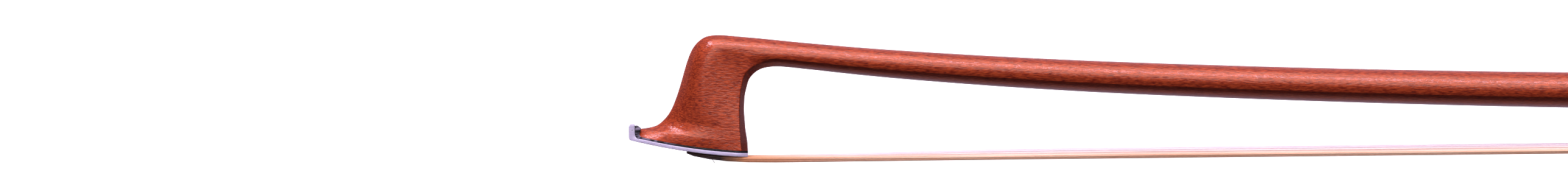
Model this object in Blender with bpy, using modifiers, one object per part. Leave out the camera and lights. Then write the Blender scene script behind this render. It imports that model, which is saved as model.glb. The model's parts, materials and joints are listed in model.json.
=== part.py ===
"""Violin bow at playing tension, standing on its hair and its frog. Metres, +Z up.

X runs along the stick, from the nose of the tip plate to the end of the button.
Z = 0 is the surface that the hair at the head and the flat of the frog stand on.
Pieces of the stick are drawn in distances from the nose, pieces of the frog in
distances from the front of its ferrule, and the button's from the end of the stick.
"""

import math

import bmesh
import bpy
from mathutils import Matrix, Vector

# Clearances
SEAT_GAP = 0.0001
GLUE_GAP = 0.00005
SLIDE_GAP = 0.00012
SCREW_GAP = 0.0001
BUTTON_GAP = 0.0002

# Stick: the line of its middle and its thickness, by distance from the nose
STICK_LENGTH = 0.728
CAMBER_NEAR_HEAD = (
    (0.0360, 0.0216),
    (0.0459, 0.0205),
    (0.0707, 0.01835),
    (0.0956, 0.0167),
    (0.1204, 0.01546),
    (0.1553, 0.01404),
)
CAMBER_LOW_AT = 0.302
CAMBER_LOW_Z = 0.0118
AXIS_Z = 0.0215
HANDLE_LENGTH = 0.086
HANDLE_FLATS = 0.0086
THICKNESS_NEAR_HEAD = ((0.0360, 0.00535), (0.0558, 0.00582), (0.0707, 0.00609), (0.1553, 0.00697))
THICKNESS_AT_LOW = 0.0080
OCTAGON_LENGTH = 0.070
OCTAGON_FADE = 0.006
HEAD_FADE = 0.016
NIPPLE_DIAMETER = 0.0050
NIPPLE_LENGTH = 0.0016

# Head, in side view: each rib runs from the ridge at the front to the throat or back face.
# Columns: front point, back point, half width, depth of the front bevel, how full the
# bevel swells, width of the chamfer at the back, and how far the head's form has grown
# out of the round stick.
HEAD_RIBS = (
    ((0.03595, 0.02426), (0.03590, 0.01891), 0.00268, 0.0016, 1.0, 0.0012, 0.25),
    ((0.03098, 0.02481), (0.03093, 0.01946), 0.00267, 0.0017, 1.0, 0.0013, 0.40),
    ((0.02664, 0.02529), (0.02819, 0.01930), 0.00266, 0.0018, 1.0, 0.0014, 0.60),
    ((0.02291, 0.02564), (0.02669, 0.01882), 0.00265, 0.0020, 1.0, 0.0014, 0.80),
    ((0.01918, 0.02599), (0.02556, 0.01802), 0.00265, 0.0023, 1.0, 0.0014, 1.0),
    ((0.01644, 0.02583), (0.02468, 0.01691), 0.00265, 0.0026, 1.0, 0.0014, 1.0),
    ((0.01457, 0.02486), (0.02417, 0.01530), 0.00265, 0.0029, 1.0, 0.0013, 1.0),
    ((0.01305, 0.02301), (0.02378, 0.01356), 0.00268, 0.0030, 1.0, 0.0012, 1.0),
    ((0.01190, 0.02016), (0.02363, 0.01170), 0.00273, 0.0032, 1.0, 0.0011, 1.0),
    ((0.01087, 0.01669), (0.02361, 0.01008), 0.00280, 0.0036, 1.0, 0.0011, 1.0),
    ((0.00972, 0.01321), (0.02372, 0.00846), 0.00290, 0.0046, 0.9, 0.0011, 1.0),
    ((0.00819, 0.01000), (0.02383, 0.00685), 0.00304, 0.0066, 0.8, 0.0012, 1.0),
    ((0.00568, 0.00766), (0.02406, 0.00523), 0.00327, 0.0112, 0.7, 0.0013, 1.0),
    ((0.00231, 0.00701), (0.02423, 0.00386), 0.00362, 0.0180, 0.6, 0.0014, 1.0),
)
RIDGE_HALF = 0.0005
BEVEL_ROLL = 0.3
FOOT_SWELL = 0.6
BACK_SHARE = 0.62
WOOD_FRONT = 0.0021

# Tip plate and the liner above it: the underside is a shallow arc that lifts to the nose
PLATE_LENGTH = 0.0243
PLATE_FRONT_Z = 0.00482
PLATE_BACK_Z = 0.0012
PLATE_SAG = 0.0006
PLATE_THICKNESS = 0.00078
PLATE_NOSE_TOP = 0.0079
PLATE_NOSE_THICKNESS = 0.00125
PLATE_NOSE_HALF = 0.0012
PLATE_NOSE_ROUND = 0.00045
PLATE_HALF = 0.0043
PLATE_FULL_AT = 0.0205
PLATE_CHAMFER = 0.0014
PLATE_BACK_HALF = 0.0036
LINER_THICKNESS = 0.00035
LINER_NOSE_TOP = 0.0076

# Head mortise and what fills it
MORTISE_FRONT = 0.0122
MORTISE_BACK = 0.0213
MORTISE_DEPTH = 0.0050
MORTISE_HALF_LOW = 0.0029
MORTISE_HALF_HIGH = 0.0020
HEAD_TAB = 0.0009
KNOT_RADIUS = 0.0011
KNOT_NECK = 1.2

# Hair: distance from the nose, underside, thickness and half width where it leaves the head
HAIR_AT_HEAD = (
    (0.0125, 0.00178, 0.00045, 0.0026),
    (0.0140, 0.00117, 0.00085, 0.0031),
    (0.0165, 0.00077, 0.00095, 0.0035),
    (0.0200, 0.00036, 0.00100, 0.0038),
    (0.0243, 0.00012, 0.00098, 0.0040),
    (0.0300, 0.0, 0.00095, 0.00405),
)
HAIR_THICKNESS = 0.0007
HAIR_FERRULE_HALF = 0.0056
HAIR_BUNDLES = 12
HAIR_RIDGE = 0.0001
HAIR_TWIST = math.radians(5)
HAIR_TWIST_RISE = 0.130
HAIR_TWIST_FALL = 0.200
HAIR_END_GAP = 0.0006
HAIR_WEDGE_RISE = 0.0002

# Lapping of two flat strips and the thumb leather, on the handle
LAPPING_TURNS = 24
LAPPING_PITCH = 0.0024
LAPPING_WIDTH = 0.00105
LAPPING_THICKNESS = 0.00045
LAPPING_STEPS = 12
LEATHER_LENGTH = 0.025
LEATHER_THICKNESS = 0.0009
LEATHER_FEATHER = 0.0005
LEATHER_TO_FROG = 0.0060
LEATHER_TO_LAPPING = 0.0006
LEATHER_ROUNDNESS = 0.35

# Frog, from the front of its ferrule
FROG_LENGTH = 0.046
FROG_HEIGHT = 0.0197
HEEL_TO_BUTT = 0.0045
FROG_LOOSENS = 0.0042
FROG_TIGHTENS = 0.0028
FERRULE_LENGTH = 0.0128
FERRULE_HALF = 0.0065
FERRULE_TOP = 0.0086
FERRULE_SIDES = 0.0026
FERRULE_WALL = 0.0005
FROG_CHEEKS = (
    (0.0, 0.0064),
    (0.0025, 0.00635),
    (0.0046, 0.0060),
    (0.0057, 0.00574),
    (0.0068, 0.0056),
    (0.0142, 0.0052),
    (0.0172, 0.00522),
    (0.0197, 0.00545),
)
THROAT_FRONT = 0.0062
THROAT_Z = 0.0099
THROAT_DEPTH = 0.0074
THROAT_RISE = 0.0058
THROAT_LIP = 0.0008
THUMB_FRONT = 0.0050
THUMB_TIP_Z = 0.0169
THUMB_TIP_RADIUS = 0.0010
HEEL_RAKE = 0.0040
HEEL_SWEEP = 2.2
TONGUE_FRONT = 0.0006
TONGUE_Z = 0.0033
TONGUE_ROOT = 0.0015
WEDGE_FRONT = 0.0012
WEDGE_BACK = 0.0090
WEDGE_SLOPE = 0.0004

# Metal and pearl on the frog
UNDERSLIDE_THICKNESS = 0.00035
UNDERSLIDE_TOP = 0.0195
UNDERSLIDE_SCREW_RADIUS = 0.0009
UNDERSLIDE_SCREW_LENGTH = 0.0034
UNDERSLIDE_SCREW_FRONT = 0.0160
UNDERSLIDE_SCREW_TO_HEEL = 0.0050
HEEL_PLATE = 0.0005
HEEL_PLATE_LENGTH = 0.0078
HEEL_PLATE_TOP = 0.0140
HEEL_PIN_RADIUS = 0.0005
HEEL_PIN_LENGTH = 0.0028
HEEL_PIN_TO_HEEL = 0.0040
HEEL_PIN_APART = 0.0070
HEEL_PIN_Z = 0.0080
PEARL_THICKNESS = 0.0008
BACKING_THICKNESS = 0.0009
PEARL_HALF_LOW = 0.0042
PEARL_HALF_HIGH = 0.0047
FROG_MORTISE_FRONT = 0.0153
FROG_MORTISE_BACK = 0.0272
FROG_MORTISE_HALF = 0.0044
FROG_MORTISE_DEPTH = 0.0070
EYE_AT = 0.0275
EYE_Z = 0.0105
EYE_RING_RADIUS = 0.0034
EYE_RING_WIDTH = 0.0004
EYE_PEARL_RADIUS = 0.0022
EYE_DEPTH = 0.0007

# Eyelet and screw
EYELET_AT = 0.0235
EYELET_RADIUS = 0.0023
EYELET_TOP = 0.0240
EYELET_BOTTOM = 0.0175
SHANK_RADIUS = 0.0015
SHANK_BOTTOM = 0.0122
SLOT_CLEARANCE = 0.00015
SLOT_END_CLEARANCE = 0.0003
SLOT_TOP = 0.0248
SCREW_RADIUS = 0.00155
SCREW_NOSE_RADIUS = 0.00115
PILOT_DEPTH = 0.0100
TANG_WIDTH = 0.0026

# Button
BUTTON_LENGTH = 0.0155
BUTTON_FLATS = 0.0089
FRONT_COLLAR = 0.0032
REAR_COLLAR = 0.0037
COLLAR_BEVEL = 0.0004
CORE_WAIST = 0.0003
BUTTON_PEARL_RADIUS = 0.0021
BUTTON_PEARL_DEPTH = 0.0007

# Places that follow from the sizes above
HEEL_TOP = FROG_LENGTH - HEEL_RAKE
HEEL_PLATE_FRONT = FROG_LENGTH - HEEL_PLATE_LENGTH
HEEL_PIN_AT = FROG_LENGTH - HEEL_PIN_TO_HEEL
UNDERSLIDE_SCREWS = (UNDERSLIDE_SCREW_FRONT, HEEL_TOP - UNDERSLIDE_SCREW_TO_HEEL)
NOSE_X = -(STICK_LENGTH + BUTTON_GAP + BUTTON_LENGTH) / 2
FERRULE_AT = STICK_LENGTH - HEEL_TO_BUTT - FROG_LENGTH
LEATHER_END = FERRULE_AT + THUMB_FRONT - LEATHER_TO_FROG
LEATHER_START = LEATHER_END - LEATHER_LENGTH
HANDLE_START = STICK_LENGTH - HANDLE_LENGTH
OCTAGON_START = STICK_LENGTH - OCTAGON_LENGTH
FROG_FRONT = FERRULE_LENGTH + BUTTON_GAP
HALF_STEPS = 16
TAN_EIGHTH = math.tan(math.pi / 8)


def clear_scene():
    for obj in list(bpy.data.objects):
        bpy.data.objects.remove(obj, do_unlink=True)


def new_collection(name):
    collection = bpy.data.collections.new(name)
    bpy.context.scene.collection.children.link(collection)
    return collection


def linear(hex_colour):
    """Linear colour of an sRGB hex value."""
    channels = [int(hex_colour[i : i + 2], 16) / 255 for i in (1, 3, 5)]
    return [c / 12.92 if c <= 0.04045 else ((c + 0.055) / 1.055) ** 2.4 for c in channels] + [1.0]


def new_material(name, hex_colour, roughness, metallic=0.0):
    made = bpy.data.materials.new(name)
    made.use_nodes = True
    shader = made.node_tree.nodes["Principled BSDF"]
    shader.inputs["Base Color"].default_value = linear(hex_colour)
    shader.inputs["Roughness"].default_value = roughness
    shader.inputs["Metallic"].default_value = metallic
    made.diffuse_color = linear(hex_colour)
    return made


clear_scene()
BOW = new_collection("violin_bow")
CUTTERS = new_collection("cutters")
PERNAMBUCO = new_material("pernambuco", "#B4562F", 0.28)
EBONY = new_material("ebony", "#1C1718", 0.35)
BONE = new_material("bone", "#E4DCEC", 0.3)
HAIR = new_material("horsehair", "#F3E6E2", 0.5)
BOXWOOD = new_material("boxwood", "#C9A66B", 0.6)
THREAD = new_material("thread", "#8C2F22", 0.8)
SILVER = new_material("silver", "#C9C7C4", 0.25, 1.0)
BRASS = new_material("brass", "#C79A4B", 0.3, 1.0)
STEEL = new_material("steel", "#9DA0A3", 0.3, 1.0)
PEARL = new_material("mother_of_pearl", "#D9DCD8", 0.2)
LEATHER = new_material("leather", "#5A3524", 0.6)
DARK_STRIP = new_material("dark_strip", "#2B211D", 0.4)
LIGHT_STRIP = new_material("light_strip", "#D8C39A", 0.4)


def new_empty(name, x, z):
    empty = bpy.data.objects.new(name, None)
    empty.empty_display_size = 0.01
    empty.location = (x, 0.0, z)
    BOW.objects.link(empty)
    return empty


STICK = new_empty("bow_stick", NOSE_X, 0.0)
FROG = new_empty("frog_slide", NOSE_X + FERRULE_AT, AXIS_Z)
TURN = new_empty("screw_turn", NOSE_X + STICK_LENGTH, AXIS_Z)
# The frog's pieces are drawn from the ground up, and the empty lies on the screw's axis
GROUND = {STICK: 0.0, FROG: -AXIS_Z, TURN: 0.0}


def place(name, mesh, parent, collection, finish=None):
    obj = bpy.data.objects.new(name, mesh)
    if finish:
        mesh.materials.append(finish)
    obj.parent = parent
    obj.location = (0.0, 0.0, GROUND[parent])
    collection.objects.link(obj)
    return obj


def closed_mesh(bm, name, smooth):
    """Mesh with its faces out, flat or smooth but for its real edges."""
    bmesh.ops.recalc_face_normals(bm, faces=bm.faces)
    mesh = bpy.data.meshes.new(name)
    bm.to_mesh(mesh)
    bm.free()
    if smooth:
        mesh.shade_smooth()
        mesh.set_sharp_from_angle(angle=math.radians(32))
    return mesh


def piece(name, bm, finish, parent, smooth=False):
    return place(name, closed_mesh(bm, name, smooth), parent, BOW, finish)


def cutter(name, bm, parent):
    obj = place(name, closed_mesh(bm, name, False), parent, CUTTERS)
    obj.hide_render = True
    obj.display_type = "WIRE"
    return obj


def combine(target, tool, operation="DIFFERENCE"):
    modifier = target.modifiers.new(f"{operation.lower()} {tool.name}", "BOOLEAN")
    modifier.operation = operation
    modifier.solver = "EXACT"
    modifier.object = tool


def turned(name, profile, finish, parent, steps=24, at=0.0, spin=0.0, collection=None):
    """Profile of (radius, distance) points turned about X, from its far end to its near end."""
    mesh = bpy.data.meshes.new(name)
    points = [(radius, 0.0, along) for radius, along in profile]
    mesh.from_pydata(points, [(i, i + 1) for i in range(len(points) - 1)], [])
    obj = place(name, mesh, parent, collection or BOW, finish)
    obj.matrix_local = (
        Matrix.Translation((at, 0.0, GROUND[parent]))
        @ Matrix.Rotation(math.pi / 2, 4, "Y")
        @ Matrix.Rotation(spin, 4, "Z")
    )
    screw = obj.modifiers.new("turn", "SCREW")
    screw.steps = steps
    screw.render_steps = steps
    screw.use_merge_vertices = True
    screw.merge_threshold = 0.00001
    screw.use_smooth_shade = steps > 8
    return obj


def prism(outline, direction, low, high):
    """Outline in the other two axes, extruded along X, Y or Z from low to high."""
    order = {"X": (2, 0, 1), "Y": (0, 2, 1), "Z": (0, 1, 2)}[direction]
    bm = bmesh.new()
    flat = [(a, b, low) for a, b in outline]
    corners = [bm.verts.new([point[axis] for axis in order]) for point in flat]
    face = bm.faces.new(corners)
    grown = bmesh.ops.extrude_face_region(bm, geom=[face])["geom"]
    lift = Vector([(0.0, 0.0, high - low)[axis] for axis in order])
    moved = [item for item in grown if isinstance(item, bmesh.types.BMVert)]
    bmesh.ops.translate(bm, vec=lift, verts=moved)
    return bm


def box(low, high):
    bm = bmesh.new()
    size = [b - a for a, b in zip(low, high)]
    middle = [(a + b) / 2 for a, b in zip(low, high)]
    bmesh.ops.create_cube(bm, size=1.0)
    bmesh.ops.scale(bm, vec=size, verts=bm.verts)
    bmesh.ops.translate(bm, vec=middle, verts=bm.verts)
    return bm


def rod(radius, start, end, segments=16):
    """Round rod between two points."""
    bm = bmesh.new()
    run = Vector(end) - Vector(start)
    bmesh.ops.create_cone(
        bm,
        cap_ends=True,
        segments=segments,
        radius1=radius,
        radius2=radius,
        depth=run.length,
        matrix=Matrix.Translation((Vector(start) + Vector(end)) / 2)
        @ Vector((0.0, 0.0, 1.0)).rotation_difference(run).to_matrix().to_4x4(),
    )
    return bm


def loft(rings, closed=False, flat_start=True):
    """Skin over rings of as many points each, closed on itself or with ends.

    A start that isn't flat is closed by strips between the ring's two mirrored sides.
    """
    bm = bmesh.new()
    rows = [[bm.verts.new(point) for point in ring] for ring in rings]
    following = rows[1:] + rows[:1] if closed else rows[1:]
    for near, far in zip(rows, following):
        for i in range(len(near)):
            j = (i + 1) % len(near)
            bm.faces.new((near[i], near[j], far[j], far[i]))
    if closed:
        return bm
    bm.faces.new(rows[-1])
    if flat_start:
        bm.faces.new(rows[0])
        return bm
    start, half = rows[0], len(rows[0]) // 2
    bm.faces.new((start[-2], start[-1], start[0], start[1], start[2]))
    for i in range(2, half - 2):
        bm.faces.new((start[i], start[i + 1], start[-i - 1], start[-i]))
    bm.faces.new(start[half - 2 : half + 3])
    return bm


def arc(centre, radii, start, end, steps):
    """Points of an elliptical arc, angles in degrees."""
    angles = [math.radians(start + (end - start) * i / steps) for i in range(steps + 1)]
    return [(centre[0] + radii[0] * math.cos(a), centre[1] + radii[1] * math.sin(a)) for a in angles]


def steady(low, high, steps):
    return [low + (high - low) * i / steps for i in range(steps + 1)]


def eased(share):
    share = min(1.0, max(0.0, share))
    return share * share * (3 - 2 * share)


def on_line(points, x):
    """Value at x on straight runs between points, held level past both ends."""
    if x <= points[0][0]:
        return points[0][1]
    for (x0, y0), (x1, y1) in zip(points, points[1:]):
        if x <= x1:
            return y0 + (y1 - y0) * (x - x0) / (x1 - x0)
    return points[-1][1]


def on_curve(points, x):
    """Value at x on a smooth curve through points, which ends level at the last."""
    slopes = [(b[1] - a[1]) / (b[0] - a[0]) for a, b in zip(points, points[1:])]
    spans = [b[0] - a[0] for a, b in zip(points, points[1:])]
    middle = [
        (slopes[i] * spans[i + 1] + slopes[i + 1] * spans[i]) / (spans[i] + spans[i + 1])
        for i in range(len(slopes) - 1)
    ]
    tangents = [slopes[0], *middle, 0.0]
    index = max(i for i in range(len(spans)) if i == 0 or points[i][0] <= x)
    u = min(1.0, max(0.0, (x - points[index][0]) / spans[index]))
    start, end = points[index][1], points[index + 1][1]
    return (
        start * (1 + 2 * u) * (1 - u) ** 2
        + tangents[index] * spans[index] * u * (1 - u) ** 2
        + end * u * u * (3 - 2 * u)
        + tangents[index + 1] * spans[index] * u * u * (u - 1)
    )


def stick_middle(distance):
    """Height of the stick's middle: sprung down from the head, then up to the straight handle."""
    if distance <= CAMBER_LOW_AT:
        return on_curve(CAMBER_NEAR_HEAD + ((CAMBER_LOW_AT, CAMBER_LOW_Z),), distance)
    share = (distance - CAMBER_LOW_AT) / (HANDLE_START - CAMBER_LOW_AT)
    return CAMBER_LOW_Z + (AXIS_Z - CAMBER_LOW_Z) * eased(share)


def stick_radius(distance):
    points = THICKNESS_NEAR_HEAD + ((CAMBER_LOW_AT, THICKNESS_AT_LOW), (HANDLE_START, HANDLE_FLATS))
    return on_curve(points, distance) / 2


def round_profile():
    """Half a circle, as (share of the height from the top, share of the half width)."""
    angles = steady(0.0, math.pi, HALF_STEPS)
    return [((1 - math.cos(a)) / 2, math.sin(a)) for a in angles]


def octagon_profile():
    """Half an octagon with flats at the top, the bottom and the sides."""
    half = []
    for angle in steady(0.0, math.pi, HALF_STEPS):
        off_flat = (angle + math.pi / 8) % (math.pi / 4) - math.pi / 8
        reach = 1 / math.cos(off_flat)
        half.append(((1 - reach * math.cos(angle)) / 2, reach * math.sin(angle)))
    return half


def mixed(first, second, share):
    return [
        (a[0] + (b[0] - a[0]) * share, a[1] + (b[1] - a[1]) * share) for a, b in zip(first, second)
    ]


def section(top, bottom, half_width, profile):
    """Ring of points from a half profile, between two points of the side view."""
    right = [
        (
            top[0] + (bottom[0] - top[0]) * share,
            half_width * width,
            top[1] + (bottom[1] - top[1]) * share,
        )
        for share, width in profile
    ]
    return right + [(x, -y, z) for x, y, z in reversed(right[1:-1])]


def handle_section(distance, offset=0.0, roundness=0.0):
    """Section of the stick, swelled by offset, round in front of the handle's octagon."""
    radius = stick_radius(distance) + offset
    fade = eased((distance - OCTAGON_START + OCTAGON_FADE) / OCTAGON_FADE) * (1 - roundness)
    profile = mixed(round_profile(), octagon_profile(), fade)
    middle = stick_middle(distance)
    return section((distance, middle + radius), (distance, middle - radius), radius, profile)


def plate_under(distance):
    share = distance / PLATE_LENGTH
    straight = PLATE_FRONT_Z + (PLATE_BACK_Z - PLATE_FRONT_Z) * share
    return straight - 4 * PLATE_SAG * share * (1 - share)


def wood_line(distance):
    """Underside of the wood of the head, on the liner."""
    return plate_under(distance) + PLATE_THICKNESS + LINER_THICKNESS + 2 * GLUE_GAP


def plate_half_width(distance):
    """Plan of the tip plate: a leaf from the narrow nose, chamfered at its back corners."""
    chamfer_at = PLATE_LENGTH - PLATE_CHAMFER
    if distance > chamfer_at:
        share = (distance - chamfer_at) / PLATE_CHAMFER
        return PLATE_HALF - (PLATE_HALF - PLATE_BACK_HALF) * share
    leaf = min(1.0, max(0.0, distance / PLATE_FULL_AT)) ** 0.6
    return PLATE_NOSE_HALF + (PLATE_HALF - PLATE_NOSE_HALF) * leaf


def head_profile(length, half_width, bevel, swell, chamfer):
    """Half a section of the head: ridge, front bevel, cheek, chamfer and back face.

    The bevel rolls over into the cheek, the more so the higher it is above the foot.
    """
    ridge = RIDGE_HALF / half_width
    roll = (swell - FOOT_SWELL) / (1 - FOOT_SWELL)
    bevel *= 1 + BEVEL_ROLL * roll
    half = [(0.0, 0.0), (0.0, ridge)]
    for share in steady(0.0, 1.0, 5)[1:]:
        width = share**swell + roll * (math.sin(share * math.pi / 2) - share)
        half.append((bevel / length * share, ridge + (1 - ridge) * width))
    for share in steady(0.0, 1.0, 7)[1:]:
        half.append((bevel / length + (1 - (bevel + chamfer) / length) * share, 1.0))
    half.append((1 - chamfer / length / 2, (1 + BACK_SHARE) / 2))
    return half + [(1.0, BACK_SHARE), (1.0, 0.0)]


def head_sections():
    """Rings from the glued face on the liner, up the head and round the throat to the stick."""
    flat = head_profile(PLATE_LENGTH, 1.0, PLATE_FULL_AT * 0.8, FOOT_SWELL, PLATE_CHAMFER)
    shares = [share for share, _ in flat]
    foot = []
    for index, share in enumerate(shares):
        distance = WOOD_FRONT + (PLATE_LENGTH - WOOD_FRONT) * share
        half_width = 0.0 if index in (0, HALF_STEPS) else plate_half_width(distance) - GLUE_GAP
        if index == HALF_STEPS - 1:
            half_width = PLATE_BACK_HALF - GLUE_GAP
        foot.append((distance, half_width, wood_line(distance)))
    rings = [foot + [(x, -y, z) for x, y, z in reversed(foot[1:-1])]]
    for values in ribs_between(HEAD_RIBS[::-1]):
        front, back, (half_width, bevel, swell, chamfer, grown) = values[:2], values[2:4], values[4:]
        length = math.dist(front, back)
        shaped = head_profile(length, half_width, bevel, swell, chamfer)
        profile = mixed(round_profile(), shaped, grown)
        rings.append(section(front, back, half_width, profile))
    return rings


def ribs_between(ribs):
    """The drawn ribs with one more between each two, on the smooth curve through four of them."""
    rows = [[*front, *back, *rest] for front, back, *rest in ribs]
    filled = [rows[0]]
    for i in range(len(rows) - 1):
        before, start, end, after = (rows[max(0, min(len(rows) - 1, i + k))] for k in (-1, 0, 1, 2))
        filled.append([(9 * (b + c) - a - d) / 16 for a, b, c, d in zip(before, start, end, after)])
        filled.append(end)
    return filled


def stick_stations():
    """Distances of the stick's rings: close together near the head, then further apart."""
    stations = []
    distance, step = HEAD_RIBS[0][0][0], 0.005
    while distance + step < OCTAGON_START - OCTAGON_FADE:
        distance += step
        step = min(0.032, step * 1.3)
        stations.append(distance)
    fade = steady(OCTAGON_START - OCTAGON_FADE, OCTAGON_START, 3)
    return stations + fade + [STICK_LENGTH]


def stick_loft():
    """Head, then the stick, which keeps a trace of the head's form for a short way."""
    rings = head_sections()
    (head_end, _), _, _, bevel, swell, chamfer, grown = HEAD_RIBS[0]
    for distance in stick_stations():
        left = 1 - (distance - head_end) / HEAD_FADE
        if left <= 0:
            rings.append(handle_section(distance))
            continue
        radius = stick_radius(distance)
        middle = stick_middle(distance)
        shaped = head_profile(2 * radius, radius, bevel, swell, chamfer)
        profile = mixed(round_profile(), shaped, grown * left)
        top, bottom = (distance, middle + radius), (distance, middle - radius)
        rings.append(section(top, bottom, radius, profile))
    nipple = NIPPLE_DIAMETER / 2
    for distance in (STICK_LENGTH, STICK_LENGTH + NIPPLE_LENGTH):
        top, bottom = (distance, AXIS_Z + nipple), (distance, AXIS_Z - nipple)
        rings.append(section(top, bottom, nipple, round_profile()))
    return loft(rings, flat_start=False)


def tapered(bm, low_z, low_half, high_z, high_half):
    """Sides of a prism drawn in, from one half width at low_z to another at high_z."""
    for vertex in bm.verts:
        share = (vertex.co.z - low_z) / (high_z - low_z)
        vertex.co.y = math.copysign(low_half + (high_half - low_half) * share, vertex.co.y)
    return bm


def make_stick():
    stick = piece("stick", stick_loft(), PERNAMBUCO, STICK, smooth=True)
    top = wood_line(MORTISE_FRONT) + MORTISE_DEPTH
    outline = [(MORTISE_FRONT, 0.0), (MORTISE_BACK, 0.0), (MORTISE_BACK, top), (MORTISE_FRONT, top)]
    bm = prism(outline, "Y", -MORTISE_HALF_LOW, MORTISE_HALF_LOW)
    mortise = cutter("head_mortise", tapered(bm, 0.0, MORTISE_HALF_LOW, top, MORTISE_HALF_HIGH), STICK)
    combine(stick, mortise)
    combine(stick, cutter("eyelet_slot", slot_shape(), STICK))
    slot_front, slot_back = slot_reach()
    past = STICK_LENGTH + 2 * NIPPLE_LENGTH
    middle = (slot_front + slot_back) / 2
    bore = rod(SCREW_RADIUS + SCREW_GAP, (middle, 0.0, AXIS_Z), (past, 0.0, AXIS_Z), 24)
    combine(stick, cutter("screw_bore", bore, STICK))
    pilot_end = (slot_front - PILOT_DEPTH, 0.0, AXIS_Z)
    pilot = rod(SCREW_NOSE_RADIUS + SCREW_GAP, pilot_end, (middle - SCREW_RADIUS, 0.0, AXIS_Z), 16)
    combine(stick, cutter("pilot_hole", pilot, STICK))
    return mortise


def slot_reach():
    """Ends of the slot that the eyelet runs in, over the frog's whole travel."""
    rest = FERRULE_AT + EYELET_AT
    spare = EYELET_RADIUS + SLOT_END_CLEARANCE
    return rest - FROG_LOOSENS - spare, rest + FROG_TIGHTENS + spare


def slot_shape():
    front, back = slot_reach()
    half = EYELET_RADIUS + SLOT_CLEARANCE
    ends = arc((back - half, 0.0), (half, half), -90, 90, 8)
    ends += arc((front + half, 0.0), (half, half), 90, 270, 8)
    return prism(ends, "Z", AXIS_Z - HANDLE_FLATS, SLOT_TOP)


def plan_cutter(name, inset, front):
    """Plan of the tip plate, drawn in by inset, as an upright prism."""
    spots = [front, 0.0003, 0.001, 0.0022, 0.004, 0.0065, 0.0095, 0.013, 0.0168]
    spots = [front, *[s for s in spots if s > front]]
    spots += [PLATE_FULL_AT, PLATE_LENGTH - PLATE_CHAMFER, PLATE_LENGTH - inset]
    side = [(s, plate_half_width(s) - inset) for s in spots]
    outline = side + [(x, -y) for x, y in reversed(side)]
    return cutter(name, prism(outline, "Z", 0.0, PLATE_NOSE_TOP * 1.5), STICK)


def make_tip(mortise):
    """Bone tip plate with its upturned nose, and the ebony liner between it and the wood."""
    spots = steady(PLATE_NOSE_THICKNESS, PLATE_LENGTH, 9)
    corner = PLATE_NOSE_ROUND
    low = arc((corner, plate_under(corner) + corner), (corner, corner), 270, 180, 3)
    high = arc((corner, PLATE_NOSE_TOP - corner), (corner, corner), 180, 90, 3)
    outline = low + high + [(PLATE_NOSE_THICKNESS, PLATE_NOSE_TOP)]
    outline += [(s, plate_under(s) + PLATE_THICKNESS) for s in spots]
    outline += [(s, plate_under(s)) for s in reversed(spots)]
    plate = piece("tip_plate", prism(outline, "Y", -2 * PLATE_HALF, 2 * PLATE_HALF), BONE, STICK)
    combine(plate, plan_cutter("plate_plan", 0.0, 0.0), "INTERSECT")
    combine(plate, mortise)

    lift = PLATE_THICKNESS + GLUE_GAP
    front = PLATE_NOSE_THICKNESS + GLUE_GAP
    nose_back = WOOD_FRONT - 3 * GLUE_GAP
    spots = steady(nose_back, PLATE_LENGTH, 9)
    outline = [(front, LINER_NOSE_TOP), (front, plate_under(front) + lift)]
    outline += [(s, plate_under(s) + lift) for s in spots]
    outline += [(s, plate_under(s) + lift + LINER_THICKNESS) for s in reversed(spots)]
    outline += [(nose_back - LINER_THICKNESS, LINER_NOSE_TOP)]
    liner = piece("head_liner", prism(outline, "Y", -2 * PLATE_HALF, 2 * PLATE_HALF), EBONY, STICK)
    combine(liner, plan_cutter("liner_plan", GLUE_GAP, front / 2), "INTERSECT")
    combine(liner, mortise)


def make_head_filling():
    """Hair knot with its tab of hair along the mortise's front wall, and the plug behind it."""
    top = wood_line(MORTISE_FRONT) + MORTISE_DEPTH
    front = MORTISE_FRONT + SEAT_GAP
    tab_back = front + HEAD_TAB
    knot_z = top - KNOT_RADIUS - SEAT_GAP
    half = MORTISE_HALF_HIGH - SEAT_GAP
    outline = [(front, plate_under(front)), (front, knot_z)]
    outline += arc((front + KNOT_RADIUS, knot_z), (KNOT_RADIUS, KNOT_RADIUS), 180, -60, 8)
    outline += [(tab_back, knot_z - KNOT_NECK * KNOT_RADIUS), (tab_back, plate_under(tab_back))]
    piece("head_hair_knot", prism(outline, "Y", -half, half), THREAD, STICK)

    plug_front, plug_back = tab_back + SEAT_GAP, MORTISE_BACK - SEAT_GAP
    plug_top = knot_z - KNOT_NECK * KNOT_RADIUS - SEAT_GAP
    spots = steady(plug_front, plug_back, 3)
    outline = [(s, plate_under(s) + GLUE_GAP) for s in spots]
    outline += [(plug_back, plug_top), (plug_front, plug_top)]
    bm = prism(outline, "Y", -half, half)
    low_half, high_half = MORTISE_HALF_LOW - SEAT_GAP, MORTISE_HALF_HIGH - SEAT_GAP
    piece("head_plug", tapered(bm, 0.0, low_half, top, high_half), BOXWOOD, STICK)


def hair_path():
    """Distance, underside, thickness and half width along the whole ribbon."""
    head = HAIR_AT_HEAD[-1]
    wall = FERRULE_WALL + SEAT_GAP
    rows = list(HAIR_AT_HEAD)
    for share in (0.07, 0.2, 0.4, 0.6, 0.8):
        distance = head[0] + (FERRULE_AT - head[0]) * share
        spread = head[3] + (HAIR_FERRULE_HALF - head[3]) * share
        thickness = HAIR_THICKNESS + (head[2] - HAIR_THICKNESS) * (1 - share)
        rows.append((distance, wall * share**3, thickness, spread))
    in_ferrule = (
        (FERRULE_AT, wall),
        (FERRULE_AT + WEDGE_BACK * 0.8, wall + HAIR_WEDGE_RISE),
        (FERRULE_AT + FERRULE_LENGTH - HAIR_END_GAP, hair_channel_z()),
    )
    return rows + [(*point, HAIR_THICKNESS, HAIR_FERRULE_HALF) for point in in_ferrule]


def hair_channel_z():
    """Underside of the hair behind the ferrule, above the slide."""
    return PEARL_THICKNESS + BACKING_THICKNESS + 2 * SEAT_GAP


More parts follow.
